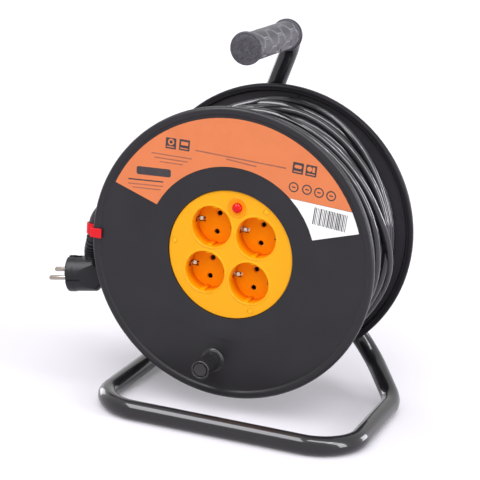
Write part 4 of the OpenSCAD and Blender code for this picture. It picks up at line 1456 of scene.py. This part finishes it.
@dataclass
class HandGrip:
    """The rubber grip with raised six-sided pads, and its end cap."""

    stand: TubeStand
    grip_d: float = 28.0
    disc_d: float = 32.0
    disc_t: float = 3.6
    fillet: float = 1.3
    fillet_l: float = 2.6
    pad_side: float = 12.6
    pad_rows: int = 10
    pad_gap: float = 3.2
    pad_h: float = 1.0
    pad_in: float = 0.35
    pad_end: float = 1.5
    flank: float = 0.87
    around: int = 200
    step: float = 0.5

    @property
    def length(self) -> float:
        """Length of the grip without its cap."""
        return self.stand.grip_l - self.stand.cap_t

    def frame(self) -> tuple[Vector, Vector, Vector, Vector]:
        """Finds the grip's own frame.

        Returns:
            The start, the side, the top and the way along.
        """
        corners = self.stand.corners()
        run = (corners[0] - corners[1]).normalized()
        start = corners[0] - self.length * run
        side = run.cross(Vector((0, 0, 1))).normalized()
        return start, side, side.cross(run).normalized(), run

    def pad_height(self, u: float, v: float) -> float:
        """Height of the raised pads at a place on the unrolled grip.

        Args:
            u: Millimetres round the grip.
            v: Millimetres along it.

        Returns:
            The height over the grooves, from 0 to 1.
        """
        row_h = pi * self.grip_d / self.pad_rows
        pitch = 1.5 * self.pad_side
        best = inf
        column = round(v / pitch)
        for c in (column - 1, column, column + 1):
            shift = 0.5 * (c % 2)
            row = round(u / (2 * row_h) - shift)
            for r in (row - 1, row, row + 1):
                du = abs(u - (r + shift) * 2 * row_h)
                dv = abs(v - c * pitch)
                best = min(best, max(du / row_h, dv / self.pad_side + 0.5 * du / row_h))
        return ease((1 - best) * self.pad_side * self.flank / (0.5 * self.pad_gap) - self.pad_in)

    def ring(self, radii: Sequence[float], along: float) -> list[Vector]:
        """Lays points round the grip.

        Args:
            radii: The radius at each point, or one for all of them.
            along: How far from the grip's start they lie.

        Returns:
            The points, in the row frame.
        """
        start, side, up, run = self.frame()
        out = []
        for k in range(self.around):
            a = tau * k / self.around
            out.append(SEAT.point(start + along * run + radii[k % len(radii)]
                                  * (cos(a) * side + sin(a) * up)))
        return out

    def at_end(self, p: Point) -> Vector:
        """Takes a point drawn at the grip's front end to the row frame."""
        start, side, up, run = self.frame()
        return SEAT.point(start + self.length * run + p[0] * side + p[1] * run + p[2] * up)

    def grip(self) -> None:
        """Moulds the grip, whose UV map holds the height of its pads."""
        wall, disc, t = self.stand.tube_d / 2 + 0.05, self.disc_d / 2, self.disc_t
        rows = [self.ring((radius,), along) for radius, along in (
            (wall, self.length), (wall, 0.0), (disc - 0.9, 0.0), (disc - 0.3, 0.25), (disc, 0.9),
            (disc, t - 0.9), (disc - 0.3, t - 0.25), (disc - 0.9, t))]
        heights = [1.0] * (len(rows) * self.around)
        body = self.grip_d / 2 - self.pad_h
        count = int((self.length - t) / self.step)
        for i in range(count + 1):
            v = t + (self.length - t) * i / count
            edge = (ease((v - t - self.pad_end) / self.pad_end)
                    * ease((self.length - v - self.pad_end) / self.pad_end))
            foot = body + self.fillet * (1 - ease((v - t) / self.fillet_l))
            high = [edge * self.pad_height(k * pi * self.grip_d / self.around, v)
                    for k in range(self.around)]
            rows.append(self.ring([foot + self.pad_h * h for h in high], v))
            heights += high
        shape = Shape()
        shape.points = [p for row in rows for p in row]
        n = self.around
        for i in range(len(rows)):
            j = (i + 1) % len(rows)
            for k in range(n):
                m = (k + 1) % n
                corners = (i * n + k, i * n + m, j * n + m, j * n + k)
                shape.face(corners, [(0.0, heights[c]) for c in corners])
        shape.build("hand_grip", Body.STAND, GRIP, ("handle_grip",))

    def cap(self) -> None:
        """Turns the cap, with a dish in its face and a ring round it."""
        t, r = self.stand.cap_t, self.disc_d / 2
        profile = [(0.0, t - 0.35), (1.2, t - 0.35), (1.9, t - 0.08), (3.2, t), (8.0, t - 0.04),
                   (r - 3.4, t - 0.16), (r - 3.0, t - 0.4), (r - 2.4, t - 0.42),
                   (r - 1.9, t - 0.26), (r - 0.9, t - 0.45), (r - 0.25, t - 0.85), (r, t - 1.4),
                   (r, 0.6), (r - 0.3, 0.15), (r - 0.9, 0.0), (7.9, 0.0), (7.9, -12.0),
                   (0.0, -12.0)]
        shape = Shape()
        shape.lathe(profile, self.at_end, 96)
        shape.build("end_cap", Body.STAND, CAP, ("grip_end_cap",), sharp=40)

    def build(self) -> None:
        """Builds the grip and the cap."""
        self.grip()
        self.cap()


# ---------- drum


@dataclass
class FrontFlange:
    """The front flange with its rolled rim, the front of the barrel and the knob's base."""

    flange_r: float = 145.0
    thick: float = 2.6
    rim_w: float = 8.5
    proud: float = 1.2
    bead: float = 3.2
    plate_r: float = 63.6
    seat_y: float = 4.8
    barrel_r: float = 88.0
    barrel_wall: float = 2.5
    middle_y: float = 68.1
    knob_r: float = 109.4
    base_r: float = 10.6
    step_h: float = 2.1

    def section(self) -> list[Flat]:
        """Draws the flange's section.

        Returns:
            Radius and Y of its points, once round.
        """
        mouth, seat, t, mid = self.plate_r + 0.4, self.seat_y, self.thick, self.middle_y
        crown, barrel = self.flange_r - self.bead, self.barrel_r
        top, low = self.rim_w - self.proud - self.bead, self.bead - self.proud
        return [(mouth, 0.6), (mouth + 0.15, 0.15), (mouth + 0.6, 0.0), (85.0, 0.0),
                (86.2, 0.05), (87.8, 0.22), (89.5, 0.25), (134.6, 0.25), (135.6, 0.35),
                (136.4, 0.6), (137.1, 0.35), (137.8, -0.45), (138.6, -0.95), (139.6, -1.12),
                *arc((crown, low), self.bead, -105, 0, 8), *arc((crown, top), self.bead, 0, 105, 8),
                (139.6, 6.6), (138.2, 5.2), (137.2, 3.6), (136.2, 2.8), (134.8, t),
                (barrel + 1.2, t), (barrel + 0.3, t + 0.3), (barrel, t + 1.2), (barrel, mid),
                (barrel - self.barrel_wall, mid), (barrel - self.barrel_wall, t), (mouth + 2.6, t),
                (mouth + 2.6, seat + 3), (self.plate_r - 4.5, seat + 3),
                (self.plate_r - 4.5, seat), (mouth, seat)]

    def bosses(self) -> None:
        """Sets the screw bosses of the plate and of the drum's halves."""
        for name, turn_r, radius, y0, y1, count, start in (
                ("plate_bosses", 58.5, 4.4, self.seat_y, self.seat_y + 14, 3, 30.0),
                ("drum_bosses", 76.0, 4.5, 1.0, 119.6, 4, 20.0)):
            boss = Shape()
            boss.lathe([(0.0, y0), (radius, y0), (radius, y1 - 0.6), (radius - 0.6, y1),
                        (1.4, y1), (1.2, y1 - 1.5), (0.0, y1 - 1.5)], loose, 24, (0.0, turn_r))
            set_round(name, boss, DRUM, count, radians(start + SEAT.drum_turn))

    def build(self) -> None:
        """Builds the flange, the stepped base of the knob and the bosses."""
        shape = Shape()
        shape.lathe(self.section(), SEAT.on_drum, 288, ring=True)
        shape.build("flange_front", Body.DRUM, DRUM, ("front_flange",), sharp=38)
        r, h = self.base_r, self.step_h
        base = Shape()
        base.lathe([(r + 1.3, 0.3), (r + 0.5, -0.1), (r + 0.05, -0.6), (r, -h + 0.5),
                    (r - 0.12, -h + 0.14), (r - 0.45, -h), (r - 0.72, -h - 0.1),
                    (r - 0.8, -h - 0.5), (r - 0.8, -2 * h + 0.45), (r - 0.92, -2 * h + 0.12),
                    (r - 1.3, -2 * h), (3.1, -2 * h), (3.1, 0.3)], SEAT.on_drum, 72,
                   (0.0, -self.knob_r), ring=True)
        base.build("knob_base", Body.DRUM, KNOB, sharp=50)
        self.bosses()


@dataclass
class SocketPlate:
    """The round plate with four earthed recesses, its springs, covers and reset button."""

    plate_r: float = 63.6
    front: float = 1.8
    thick: float = 3.0
    pitch: float = 46.0
    recess_r: float = 20.3
    depth: float = 17.5
    pin_pitch: float = 19.0
    pin_hole_r: float = 2.75
    button_at: float = 48.0
    button_r: float = 4.8
    button_out: float = 4.6
    collar_r: float = 9.5
    screws_at: float = 58.5
    screws: int = 3
    screw_start: float = 30.0
    cover_r: float = 2.8
    strip_reach: float = 41.1
    strip_half: float = 2.5
    strip_gap: float = 2.1

    def on_grid(self, shape: Shape | Object, name: str, finish: Finish) -> None:
        """Sets a shape in all four recesses.

        Args:
            shape: The shape, drawn round one recess's centre.
            name: The piece's name.
            finish: Its finish.
        """
        piece = grid_tree().make(name, shape, finish, {
            "Across": 2, "Pitch": self.pitch * MM, "Turn": radians(SEAT.drum_turn),
            "Axis": SEAT.point((0, 0, 0))})
        seat_piece(piece, Body.DRUM)

    def face(self) -> None:
        """Builds the plate itself, whose flat faces end in crisp edges."""
        half = self.pitch / 2
        circles = [(0.0, 0.0, self.plate_r, 240)]
        circles += [(x * half, z * half, self.recess_r + 0.7, 96)
                    for x in (-1, 1) for z in (-1, 1)]
        circles.append((0.0, self.button_at, self.collar_r, 56))
        circles += [(self.screws_at * sin(radians(a)),
                     self.screws_at * cos(radians(a)), self.cover_r + 0.12, 32)
                    for a in (self.screw_start + 360 * k / self.screws
                              for k in range(self.screws))]
        shape = Shape()
        shape.sheet(circles, self.front, self.front + self.thick, 0.55, SEAT.on_drum)
        piece = shape.build("plate_face", Body.DRUM, PLATE, ("socket_plate",), sharp=40)
        work = bmesh.new()
        work.from_mesh(piece.data)
        work.normal_update()
        for edge in work.edges:
            level = [abs(side.normal.y) > 0.9999 for side in edge.link_faces]
            edge.smooth = edge.smooth and (all(level) or not any(level))
        work.to_mesh(piece.data)
        work.free()

    def lip(self) -> Shape:
        """Draws the raised lip of a recess.

        Returns:
            The lip, round one recess's centre.
        """
        r, y = self.recess_r, self.front
        shape = Shape()
        shape.lathe([(r + 2.7, y + 0.1), (r + 2.4, y - 0.12), (r + 1.9, y - 0.2),
                     (r + 1.5, y - 0.42), (r + 1.0, y - 0.52), (r + 0.5, y - 0.42),
                     (r + 0.15, y - 0.05), (r, y + 0.6), (r, y + 2.0), (r + 1.4, y + 2.0),
                     (r + 2.0, y + 1.0)], loose, 96, ring=True)
        return shape

    def cup(self) -> Object:
        """Makes one recess with a soft inner corner, pin holes, spring slots and guide ribs.

        Returns:
            The recess as a plain object.
        """
        r, floor = self.recess_r, self.front + self.depth
        shape = Shape()
        shape.lathe([(0.0, floor + 2), (r + 1.1, floor + 2), (r + 1.9, floor + 1.2),
                     (r + 1.9, self.front + 1.5), (r - 0.02, self.front + 1.5),
                     (r - 0.2, floor - 1.2), *arc((r - 1.3, floor - 1.1), 1.1, 0, 90, 4),
                     (0.0, floor)], loose, 72)
        cup = shape.thing("cup", CUP)
        cuts = Shape()
        for s in (1, -1):
            cuts.lathe([(0.0, floor - 1), (3.6, floor - 1), (3.35, floor), (2.85, floor + 0.35),
                        (self.pin_hole_r, floor + 0.8), (self.pin_hole_r, floor + 3),
                        (0.0, floor + 3)], loose, 28, (0.0, s * self.pin_pitch / 2))
            cuts.prism([(s * 13.2, -2.8), (s * 23.5, -2.8), (s * 23.5, 2.3), (s * 13.2, 2.3)],
                       floor - 8.0, floor + 3, loose)
        tool = cuts.thing("cuts", CUP)
        cut_away(cup, tool)
        bake(cup, tool)
        ribs = Shape()
        for s in (1, -1):
            ribs.prism([(-2.2, s * (r + 0.6)), (-2.2, s * (r - 1.5)), (-1.8, s * (r - 1.9)),
                        (1.8, s * (r - 1.9)), (2.2, s * (r - 1.5)), (2.2, s * (r + 0.6))],
                       self.front + 1.9, floor + 0.5, loose)
        extra = ribs.thing("ribs", CUP)
        work = bmesh.new()
        work.from_mesh(cup.data)
        work.from_mesh(extra.data)
        bpy.data.objects.remove(extra)
        work.to_mesh(cup.data)
        work.free()
        smooth(cup.data, 30)
        return cup

    def springs(self) -> Shape:
        """Draws a recess's two earth springs.

        Returns:
            The springs, round one recess's centre.
        """
        floor = self.front + self.depth
        way = [(20.9, floor + 2.8), (20.9, floor - 4.5), (20.5, floor - 6.3),
               (19.7, floor - 6.5), (19.2, floor - 5.2), (18.9, floor - 2.4),
               (18.5, floor - 1.5), (17.8, floor - 1.2), (15.5, floor - 0.9)]
        shape = Shape()
        for s in (1, -1):
            shape.band([(s * x, y) for x, y in ribbon(way[:6], 0.5)], -0.9, 1.5, loose)
            shape.band([(s * x, y) for x, y in ribbon(way[5:], 0.55)], -1.3, 2.3, loose)
            foot = [(20.3, floor - 3.2), (19.6, floor - 4.9), (18.9, floor - 3.4)]
            shape.band([(s * x, y) for x, y in ribbon(foot, 0.5)], -2.7, -1.6, loose)
        return shape

    def strips(self) -> None:
        """Builds the strip that joins the earth springs."""
        y, half = self.front + self.depth + self.strip_gap, self.pitch / 2
        reach, w = self.strip_reach, self.strip_half
        shape = Shape()
        for x0, x1, z0, z1, lift in ((-reach, reach, half - w, half + w, 0.0),
                                     (-reach, reach, -half - w, -half + w, 0.0),
                                     (-w, w, -half, half, 0.05)):
            shape.prism([(x0, z0), (x1, z0), (x1, z1), (x0, z1)], y + lift, y + 1 - lift,
                        SEAT.on_drum)
        shape.build("earth_strip", Body.DRUM, NICKEL, ("earth_bus",), bevel=0.15)

    def covers(self) -> None:
        """Sets the domed covers over the plate's screws."""
        y, r = self.front, self.cover_r
        dome = Shape()
        dome.lathe([(0.0, y - 0.12), (r * 0.5, y - 0.06), (r - 0.5, y + 0.1), (r - 0.1, y + 0.4),
                    (r, y + 0.9), (0.0, y + 0.9)], loose, 32, (0.0, self.screws_at))
        set_round("cover_domes", dome, COVERS, self.screws,
                  radians(self.screw_start + SEAT.drum_turn), ("screw_covers",))

    def button(self) -> None:
        """Builds the domed reset button and its dished collar, whose darker orange is painted
        shade.
        """
        at, y, r = (0.0, self.button_at), self.front, self.button_r
        collar = Shape()
        collar.lathe([(10.3, y + 0.08), (9.9, y - 0.35), (9.5, y - 0.66), (9.1, y - 0.72),
                      (8.6, y - 0.55), (6.6, y + 0.32), (5.8, y + 0.44), (r + 0.06, y + 0.46),
                      (r + 0.06, y + 0.56), (9.3, y + 0.56), (9.3, y + 0.08)], SEAT.on_drum, 72, at,
                     ring=True)
        collar.build("button_collar", Body.DRUM, SHADED_COLLAR, sharp=60)
        top = y - self.button_out
        dome = [(r * sin(radians(a)), top + 3.1 * (1 - cos(radians(a))))
                for a in range(0, 91, 9)]
        shape = Shape()
        shape.lathe([*dome, (r, y + 11), (r - 0.5, y + 11.9), (0.0, y + 12)], SEAT.on_drum, 48, at)
        shape.build("button_dome", Body.BUTTON, BUTTON, ("reset_button",), sharp=50)

    def build(self) -> None:
        """Builds the plate and everything in it."""
        self.face()
        self.on_grid(self.lip(), "recess_lips", PLATE)
        self.on_grid(self.cup(), "recess_cups", CUP)
        self.on_grid(self.springs(), "earth_springs", SPRING)
        self.strips()
        self.covers()
        self.button()


@dataclass
class WindingKnob:
    """The turning knob with its recessed cap."""

    out: float = 109.4
    radius: float = 9.2
    start: float = -4.5
    length: float = 29.0
    wall: float = 1.9
    bridges: int = 3
    bridge_start: float = 0.4

    def build(self) -> None:
        """Builds the knob, its cap and the bridges between them."""
        at, r, y = (0.0, -self.out), self.radius, self.start
        end, hollow = y - self.length, r - self.wall
        shape = Shape()
        shape.lathe([(3.1, y), (r - 0.7, y), (r - 0.15, y - 0.2), (r, y - 0.7), (r - 0.25, y - 9),
                     (r - 0.3, y - 16), (r - 0.1, end + 3), (r, end + 1.2), (r - 0.12, end + 0.5),
                     (r - 0.5, end + 0.1), (r - 1.0, end), (r - 1.5, end + 0.1),
                     (hollow + 0.1, end + 0.4), (hollow, end + 0.9), (hollow, end + 2.6),
                     (3.1, end + 2.6)], SEAT.on_drum, 72, at, ring=True)
        shape.build("knob_shell", Body.KNOB, KNOB, ("crank_knob",), sharp=50)
        inner = hollow - 0.75
        cap = Shape()
        cap.lathe([(0.0, end + 0.45), (inner - 2.4, end + 0.4), (inner - 1.6, end + 0.15),
                   (inner - 0.6, end + 0.1), (inner - 0.1, end + 0.35), (inner, end + 0.8),
                   (inner, end + 2.5), (0.0, end + 2.5)], SEAT.on_drum, 60, at)
        cap.build("knob_lid", Body.KNOB, KNOB, ("knob_cap",), sharp=50)
        bridge = Shape()
        bridge.prism([(-1.1, inner - 0.3), (1.1, inner - 0.3), (1.1, inner + 1.0),
                      (-1.1, inner + 1.0)], end + 0.7, end + 2.4, loose)
        set_round("knob_bridges", bridge, KNOB, self.bridges, self.bridge_start,
                  body=Body.KNOB, axis=(0.0, 0.0, -self.out))


@dataclass
class RimClip:
    """The red clip that grips the front rim and holds the cable in a ring."""

    end: FreeEnd
    width: float = 9.6
    wall: float = 1.5
    front: float = -2.85
    back: float = 8.95
    low: float = 134.65
    high: float = 146.65
    ring_in: float = 4.6

    def place(self, p: Point) -> Vector:
        """Takes Y, distance from the axis and sideways place to the row frame."""
        return SEAT.point((p[2], p[0], p[1]), SEAT.clip_angle)

    def build(self) -> None:
        """Builds the clip."""
        t, w, ring_at = self.wall, self.width / 2, self.end.ring_r
        y0, y1, low, high = self.front, self.back, self.low, self.high
        shape = Shape()
        shape.band([(y0, low), (y0, high), (y1, high), (y1, low), (y1 - t, low),
                    (y1 - t, high - t), (y0 + t, high - t), (y0 + t, low)], -w, w, self.place)
        shape.band([(y1 - t + 0.1, low + 6), (y1 - 0.1, low + 6), (y1 - 0.1, ring_at),
                    (y1 - t + 0.1, ring_at)], -w + 0.2, w - 0.2, self.place)
        outer = arc((self.end.ring_y, ring_at), self.ring_in + t, 40, 338, 40)
        inner = arc((self.end.ring_y, ring_at), self.ring_in, 334, 46, 40)
        shape.band(outer + inner, -self.end.ring_h / 2, self.end.ring_h / 2, self.place)
        shape.build("rim_clip", Body.DRUM, RED, ("cable_clip",), bevel=0.38, sharp=28)


@dataclass
class LabelPrint:
    """Plain marks on the label: tiles, rings, rules and bars, without any words.

    A place is X and Z on the label. A tile's turn in degrees follows its place, and a rule's
    width and turn follow its own.
    """

    level: float = -0.3
    ink: float = 0.03
    tile: float = 10.8
    tiles: tuple[Point, ...] = (
        (-76.0, 94.6, -5.0), (-62.0, 96.1, -4.0), (53.7, 101.6, -2.0), (66.9, 102.2, -2.0))
    rings: tuple[Flat, ...] = ((52.5, 82.6), (65.8, 83.4), (77.9, 83.4), (90.1, 83.2))
    rules: tuple[tuple[float, ...], ...] = (
        (-96.3, 52.2, 37.0, -8.5), (-4.0, 96.3, 93.0, -3.0), (-2.5, 93.1, 31.0, 0.0))
    thin_rules: tuple[tuple[float, ...], ...] = (
        (-73.5, 82.7, 42.0, -5.0), (-73.5, 78.9, 35.0, -5.5), (-72.7, 75.4, 24.0, -6.0),
        (-95.8, 47.8, 37.0, -8.5), (-94.2, 44.4, 30.0, -8.0))
    bars: int = 21
    bars_at: Flat = (76.8, 60.4)
    bar_h: float = 16.6
    bar_pitch: float = 1.6
    bar_widths: Flat = (0.42, 1.3)
    seed: int = 7

    def layer(self, lift: float) -> Flat:
        """Gives the front and back level of ink that lies so far in front of the first."""
        return self.level - self.ink - lift, self.level + 0.05 - lift

    def block(self, shape: Shape, centre: Flat, wide: float, high: float, turn: float,
              corner: float, lift: float = 0.0) -> None:
        """Adds a flat printed block.

        Args:
            shape: The shape that it goes into.
            centre: Its middle on the label.
            wide: Its width.
            high: Its height.
            turn: Degrees that it is turned, clockwise from the front.
            corner: Radius of its corners.
            lift: How far it lies in front of the first layer of ink.
        """
        c, s = cos(radians(turn)), sin(radians(turn))
        outline = []
        for sx, sz, start in ((1, 1, 0), (-1, 1, 90), (-1, -1, 180), (1, -1, 270)):
            outline += arc((sx * (wide / 2 - corner), sz * (high / 2 - corner)), corner, start,
                           start + 90, 3)
        shape.prism([(centre[0] + x * c + z * s, centre[1] - x * s + z * c) for x, z in outline],
                    *self.layer(lift), SEAT.on_drum)

    def ring(self, shape: Shape, centre: Flat, outer: float, inner: float, lift: float = 0.0
             ) -> None:
        """Adds a flat printed ring.

        Args:
            shape: The shape that it goes into.
            centre: Its middle on the label.
            outer: Its outer radius.
            inner: Its inner radius.
            lift: How far it lies in front of the first layer of ink.
        """
        near, far = self.layer(lift)
        shape.lathe([(outer, near), (outer, far), (inner, far), (inner, near)], SEAT.on_drum, 40,
                    centre, ring=True)

    def marks(self) -> None:
        """Prints the tiles with their fillings, the rings and the rules."""
        dark, light, faint, over = Shape(), Shape(), Shape(), self.ink
        for x, z, turn in self.tiles:
            self.block(dark, (x, z), self.tile, self.tile, turn, 0.5)
            self.block(light, (x, z - 3.4), 8.0, 1.0, turn, 0.2, over)
        self.ring(light, (-76.0, 96.0), 3.2, 1.6, over)
        self.block(light, (-62.0, 97.6), 7.4, 3.6, -4.0, 0.4, over)
        self.block(light, (53.7, 103.0), 7.4, 3.4, -2.0, 1.6, over)
        self.ring(light, (65.0, 103.5), 2.5, 0.05, over)
        self.block(light, (69.2, 103.5), 2.6, 5.0, -2.0, 0.4, over)
        for centre in self.rings:
            self.ring(dark, centre, 4.9, 3.7)
            self.block(dark, centre, 3.6, 1.2, 0.0, 0.4)
        self.block(dark, (-89.4, 62.6), 36.0, 8.0, -8.0, 2.0)
        for x, z, wide, turn in self.rules:
            self.block(dark if x < -90 else faint, (x, z), wide, 1.3, turn, 0.4)
        for x, z, wide, turn in self.thin_rules:
            self.block(faint, (x, z), wide, 1.1, turn, 0.35)
        dark.build("print_dark", Body.DRUM, INK)
        light.build("print_light", Body.DRUM, LABEL)
        faint.build("print_faint", Body.DRUM, FAINT)

    def build(self) -> None:
        """Prints the marks and the row of bars."""
        self.marks()
        bar, half = Shape(), self.bar_h / 2
        bar.prism([(-0.5, -half), (0.5, -half), (0.5, half), (-0.5, half)], *self.layer(0.0),
                  loose)
        thin, thick = self.bar_widths
        x, z = self.bars_at
        piece = bar_tree().make("print_bars", bar, INK, {
            "Count": self.bars, "Pitch": self.bar_pitch * MM, "Thin": thin, "Thick": thick,
            "Seed": self.seed, "Turn": radians(SEAT.drum_turn),
            "Place": SEAT.on_drum((x, 0.0, z))})
        seat_piece(piece, Body.DRUM)


@dataclass
class RearDetails:
    """Screws in the rear flange and the moulding seam on its inner face."""

    screw_r: float = 76.0
    head_y: float = 135.6
    start: float = 20.0
    seam_at: float = 6.3

    def screw(self) -> Object:
        """Makes one pan-head screw with a cross recess.

        Returns:
            The screw as a plain object.
        """
        y = self.head_y
        shape = Shape()
        shape.lathe([(0.0, y), (1.6, y - 0.08), (3.0, y - 0.5), (3.8, y - 1.3), (4.0, y - 2.2),
                     (4.0, y - 2.8), (2.0, y - 2.8), (2.0, 111.0), (1.2, 109.2), (0.0, 108.6)],
                    loose, 32, (0.0, self.screw_r))
        screw = shape.thing("screw", ZINC)
        cross = Shape()
        for wide, high in ((4.4, 1.0), (1.0, 4.4)):
            cross.prism([(-wide / 2, self.screw_r - high / 2), (wide / 2, self.screw_r - high / 2),
                         (wide / 2, self.screw_r + high / 2), (-wide / 2, self.screw_r + high / 2)],
                        y - 1.7, y + 1, loose)
        tool = cross.thing("cross", ZINC)
        cut_away(screw, tool).use_self = True
        bake(screw, tool)
        smooth(screw.data, 40)
        return screw

    def build(self) -> None:
        """Builds the screws and the seam."""
        set_round("rear_screws", self.screw(), ZINC, 4, radians(self.start + SEAT.drum_turn),
                  ("flange_screws",))
        a = radians(self.seam_at)
        seam = Shape()
        line = [SEAT.point((r * sin(a), y, r * cos(a)))
                for r, y in ((129.5, 133.55), (134.5, 133.5), (136.4, 133.2), (138.2, 131.0),
                             (139.6, 129.6), (141.0, 128.95))]
        seam.tube(line, [0.12 * MM, 0.3 * MM, 0.34 * MM, 0.34 * MM, 0.3 * MM, 0.15 * MM], 8,
                  (1, 0, 0))
        seam.build("rear_seam", Body.DRUM, KNOB)


@dataclass
class AngledPlug:
    """The moulded plug with its pins and side contacts, in its own frame."""

    end: FreeEnd
    face_r: float = 18.5
    depth: float = 36.0
    pin_r: float = 2.4
    pin_l: float = 19.0
    pin_pitch: float = 19.0
    roll: float = -9.0
    voxel: float = 0.5

    def turned(self, p: Sequence[float]) -> Vector:
        """Turns a place about the plug's long axis and takes it to the row frame."""
        return self.end.at_plug(Matrix.Rotation(radians(self.roll), 3, "X") @ Vector(p))

    def along(self, p: Point) -> Vector:
        """Takes what is turned about Y to the plug's long axis and on to the row frame."""
        return self.end.at_plug((p[1], p[0], p[2]))

    def upright(self, p: Point) -> Vector:
        """Takes what is turned about Y to the cable's entry and on to the row frame."""
        return self.end.at_plug((p[0], -p[2], p[1]))

    def skin(self, piece: Object, name: str) -> None:
        """Lays one closed skin of small even faces over a piece."""
        union = piece.modifiers.new(name, "REMESH")
        union.mode, union.voxel_size = "VOXEL", self.voxel * MM

    def body(self) -> None:
        """Moulds the body: a round face, flattened sides, a round neck and the grooves."""
        r, entry = self.face_r, self.end.plug_entry
        shape = Shape()
        shape.lathe([(0.0, 0.0), (r - 1.0, 0.0), (r - 0.2, 0.35), (r, 1.1), (r, 7.2),
                     (r - 0.35, 8.0), (r - 0.5, 9.0), (r - 0.5, 28.6), (r - 1.0, 29.8),
                     (r - 5.4, 34.4), (r - 7.2, 35.7), (0.0, self.depth)], self.along, 120)
        shape.lathe([(0.0, 2.0), (12.6, 2.0), (11.8, 8.0), (9.6, 13.0), (8.0, 16.2), (7.2, 18.2),
                     (6.6, 18.45), (0.0, 18.5)], self.upright, 72, (entry - 0.6, 0.0))
        piece = shape.thing("plug_shell", PLUG)
        flats, grooves = Shape(), Shape()
        for s in (1, -1):
            flats.band([(11.0, s * 25), (11.0, s * (r - 0.5)), (38.0, s * (r - 8.6)),
                        (38.0, s * 25)], -25, 25, self.turned)
            grooves.band([(-1.0, s * (r + 1.0)), (-1.0, s * (r - 2.4)), (15.0, s * (r - 2.4)),
                          (16.0, s * (r - 1.8)), (16.0, s * (r + 1.0))], -2.7, 2.7,
                         self.turned)
            z0, z1 = sorted((s * (r - 2.2), s * (r + 1.0)))
            grooves.band([(-1.0, -3.0), (15.0, -3.0), (15.0, 3.0), (-1.0, 3.0)], z0, z1,
                         self.turned)
        flat_tool, groove_tool = flats.thing("flats", PLUG), grooves.thing("grooves", PLUG)
        self.skin(piece, "one")
        cut_away(piece, flat_tool)
        self.skin(piece, "again")
        soft = piece.modifiers.new("soft", "SMOOTH")
        soft.factor, soft.iterations = 0.5, 2
        cut_away(piece, groove_tool)
        bake(piece, flat_tool, groove_tool)
        piece.data.materials.clear()
        piece.data.materials.append(PLUG.material())
        smooth(piece.data, 42)
        seat_piece(piece, Body.STAND, ("plug_body",))

    def metal(self) -> None:
        """Builds the pins and the side contacts."""
        r = self.pin_r
        pins = Shape()
        for s in (1, -1):
            tip = -self.pin_l
            pins.lathe([(0.0, tip), (1.1, tip + 0.12), (1.8, tip + 0.55), (2.25, tip + 1.3),
                        (r, tip + 2.3), (r, 0.05), (r - 0.3, 0.05), (r - 0.3, 7.0), (0.0, 7.0)],
                       self.along, 40, (s * self.pin_pitch / 2, 0.0))
        pins.build("plug_round_pins", Body.STAND, PINS, ("plug_pins",), sharp=50)
        tabs = Shape()
        for s in (1, -1):
            z = self.face_r - 2.2
            way = [(0.6, z + 0.2), (1.1, z + 0.6), (4.8, z + 0.75), (6.2, z + 0.6), (6.8, z + 0.1)]
            outline = ribbon(way, 0.5)
            tabs.band([(x, s * y) for x, y in outline], -2.6, 2.6,
                      lambda p: self.turned((p[0], p[2], p[1])))
        tabs.build("plug_side_contacts", Body.STAND, PINS, ("plug_earth",))

    def build(self) -> None:
        """Builds the plug."""
        self.body()
        self.metal()


# ---------- whole object


def dress(nodes: dict[str, Object]) -> None:
    """Gives each carried-over solid its finish.

    Args:
        nodes: The solids by name.
    """
    for name, solid in nodes.items():
        finish = CAD_FINISHES[name].material()
        if solid.material_slots:
            for slot in solid.material_slots:
                slot.material = finish
        else:
            solid.data.materials.append(finish)


def main() -> None:
    """Builds the reel's visual model."""
    logging.basicConfig(level=logging.INFO, format="%(name)s: %(message)s")
    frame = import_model()
    dress(frame["nodes"])
    Studio().build()
    end = FreeEnd()
    end.build(WoundCable().build())
    AngledPlug(end).build()
    stand = TubeStand()
    stand.build()
    HandGrip(stand).build()
    FrontFlange().build()
    SocketPlate().build()
    WindingKnob().build()
    RimClip(end).build()
    LabelPrint().build()
    RearDetails().build()
    bpy.context.view_layer.update()


if __name__ == "__main__":
    main()
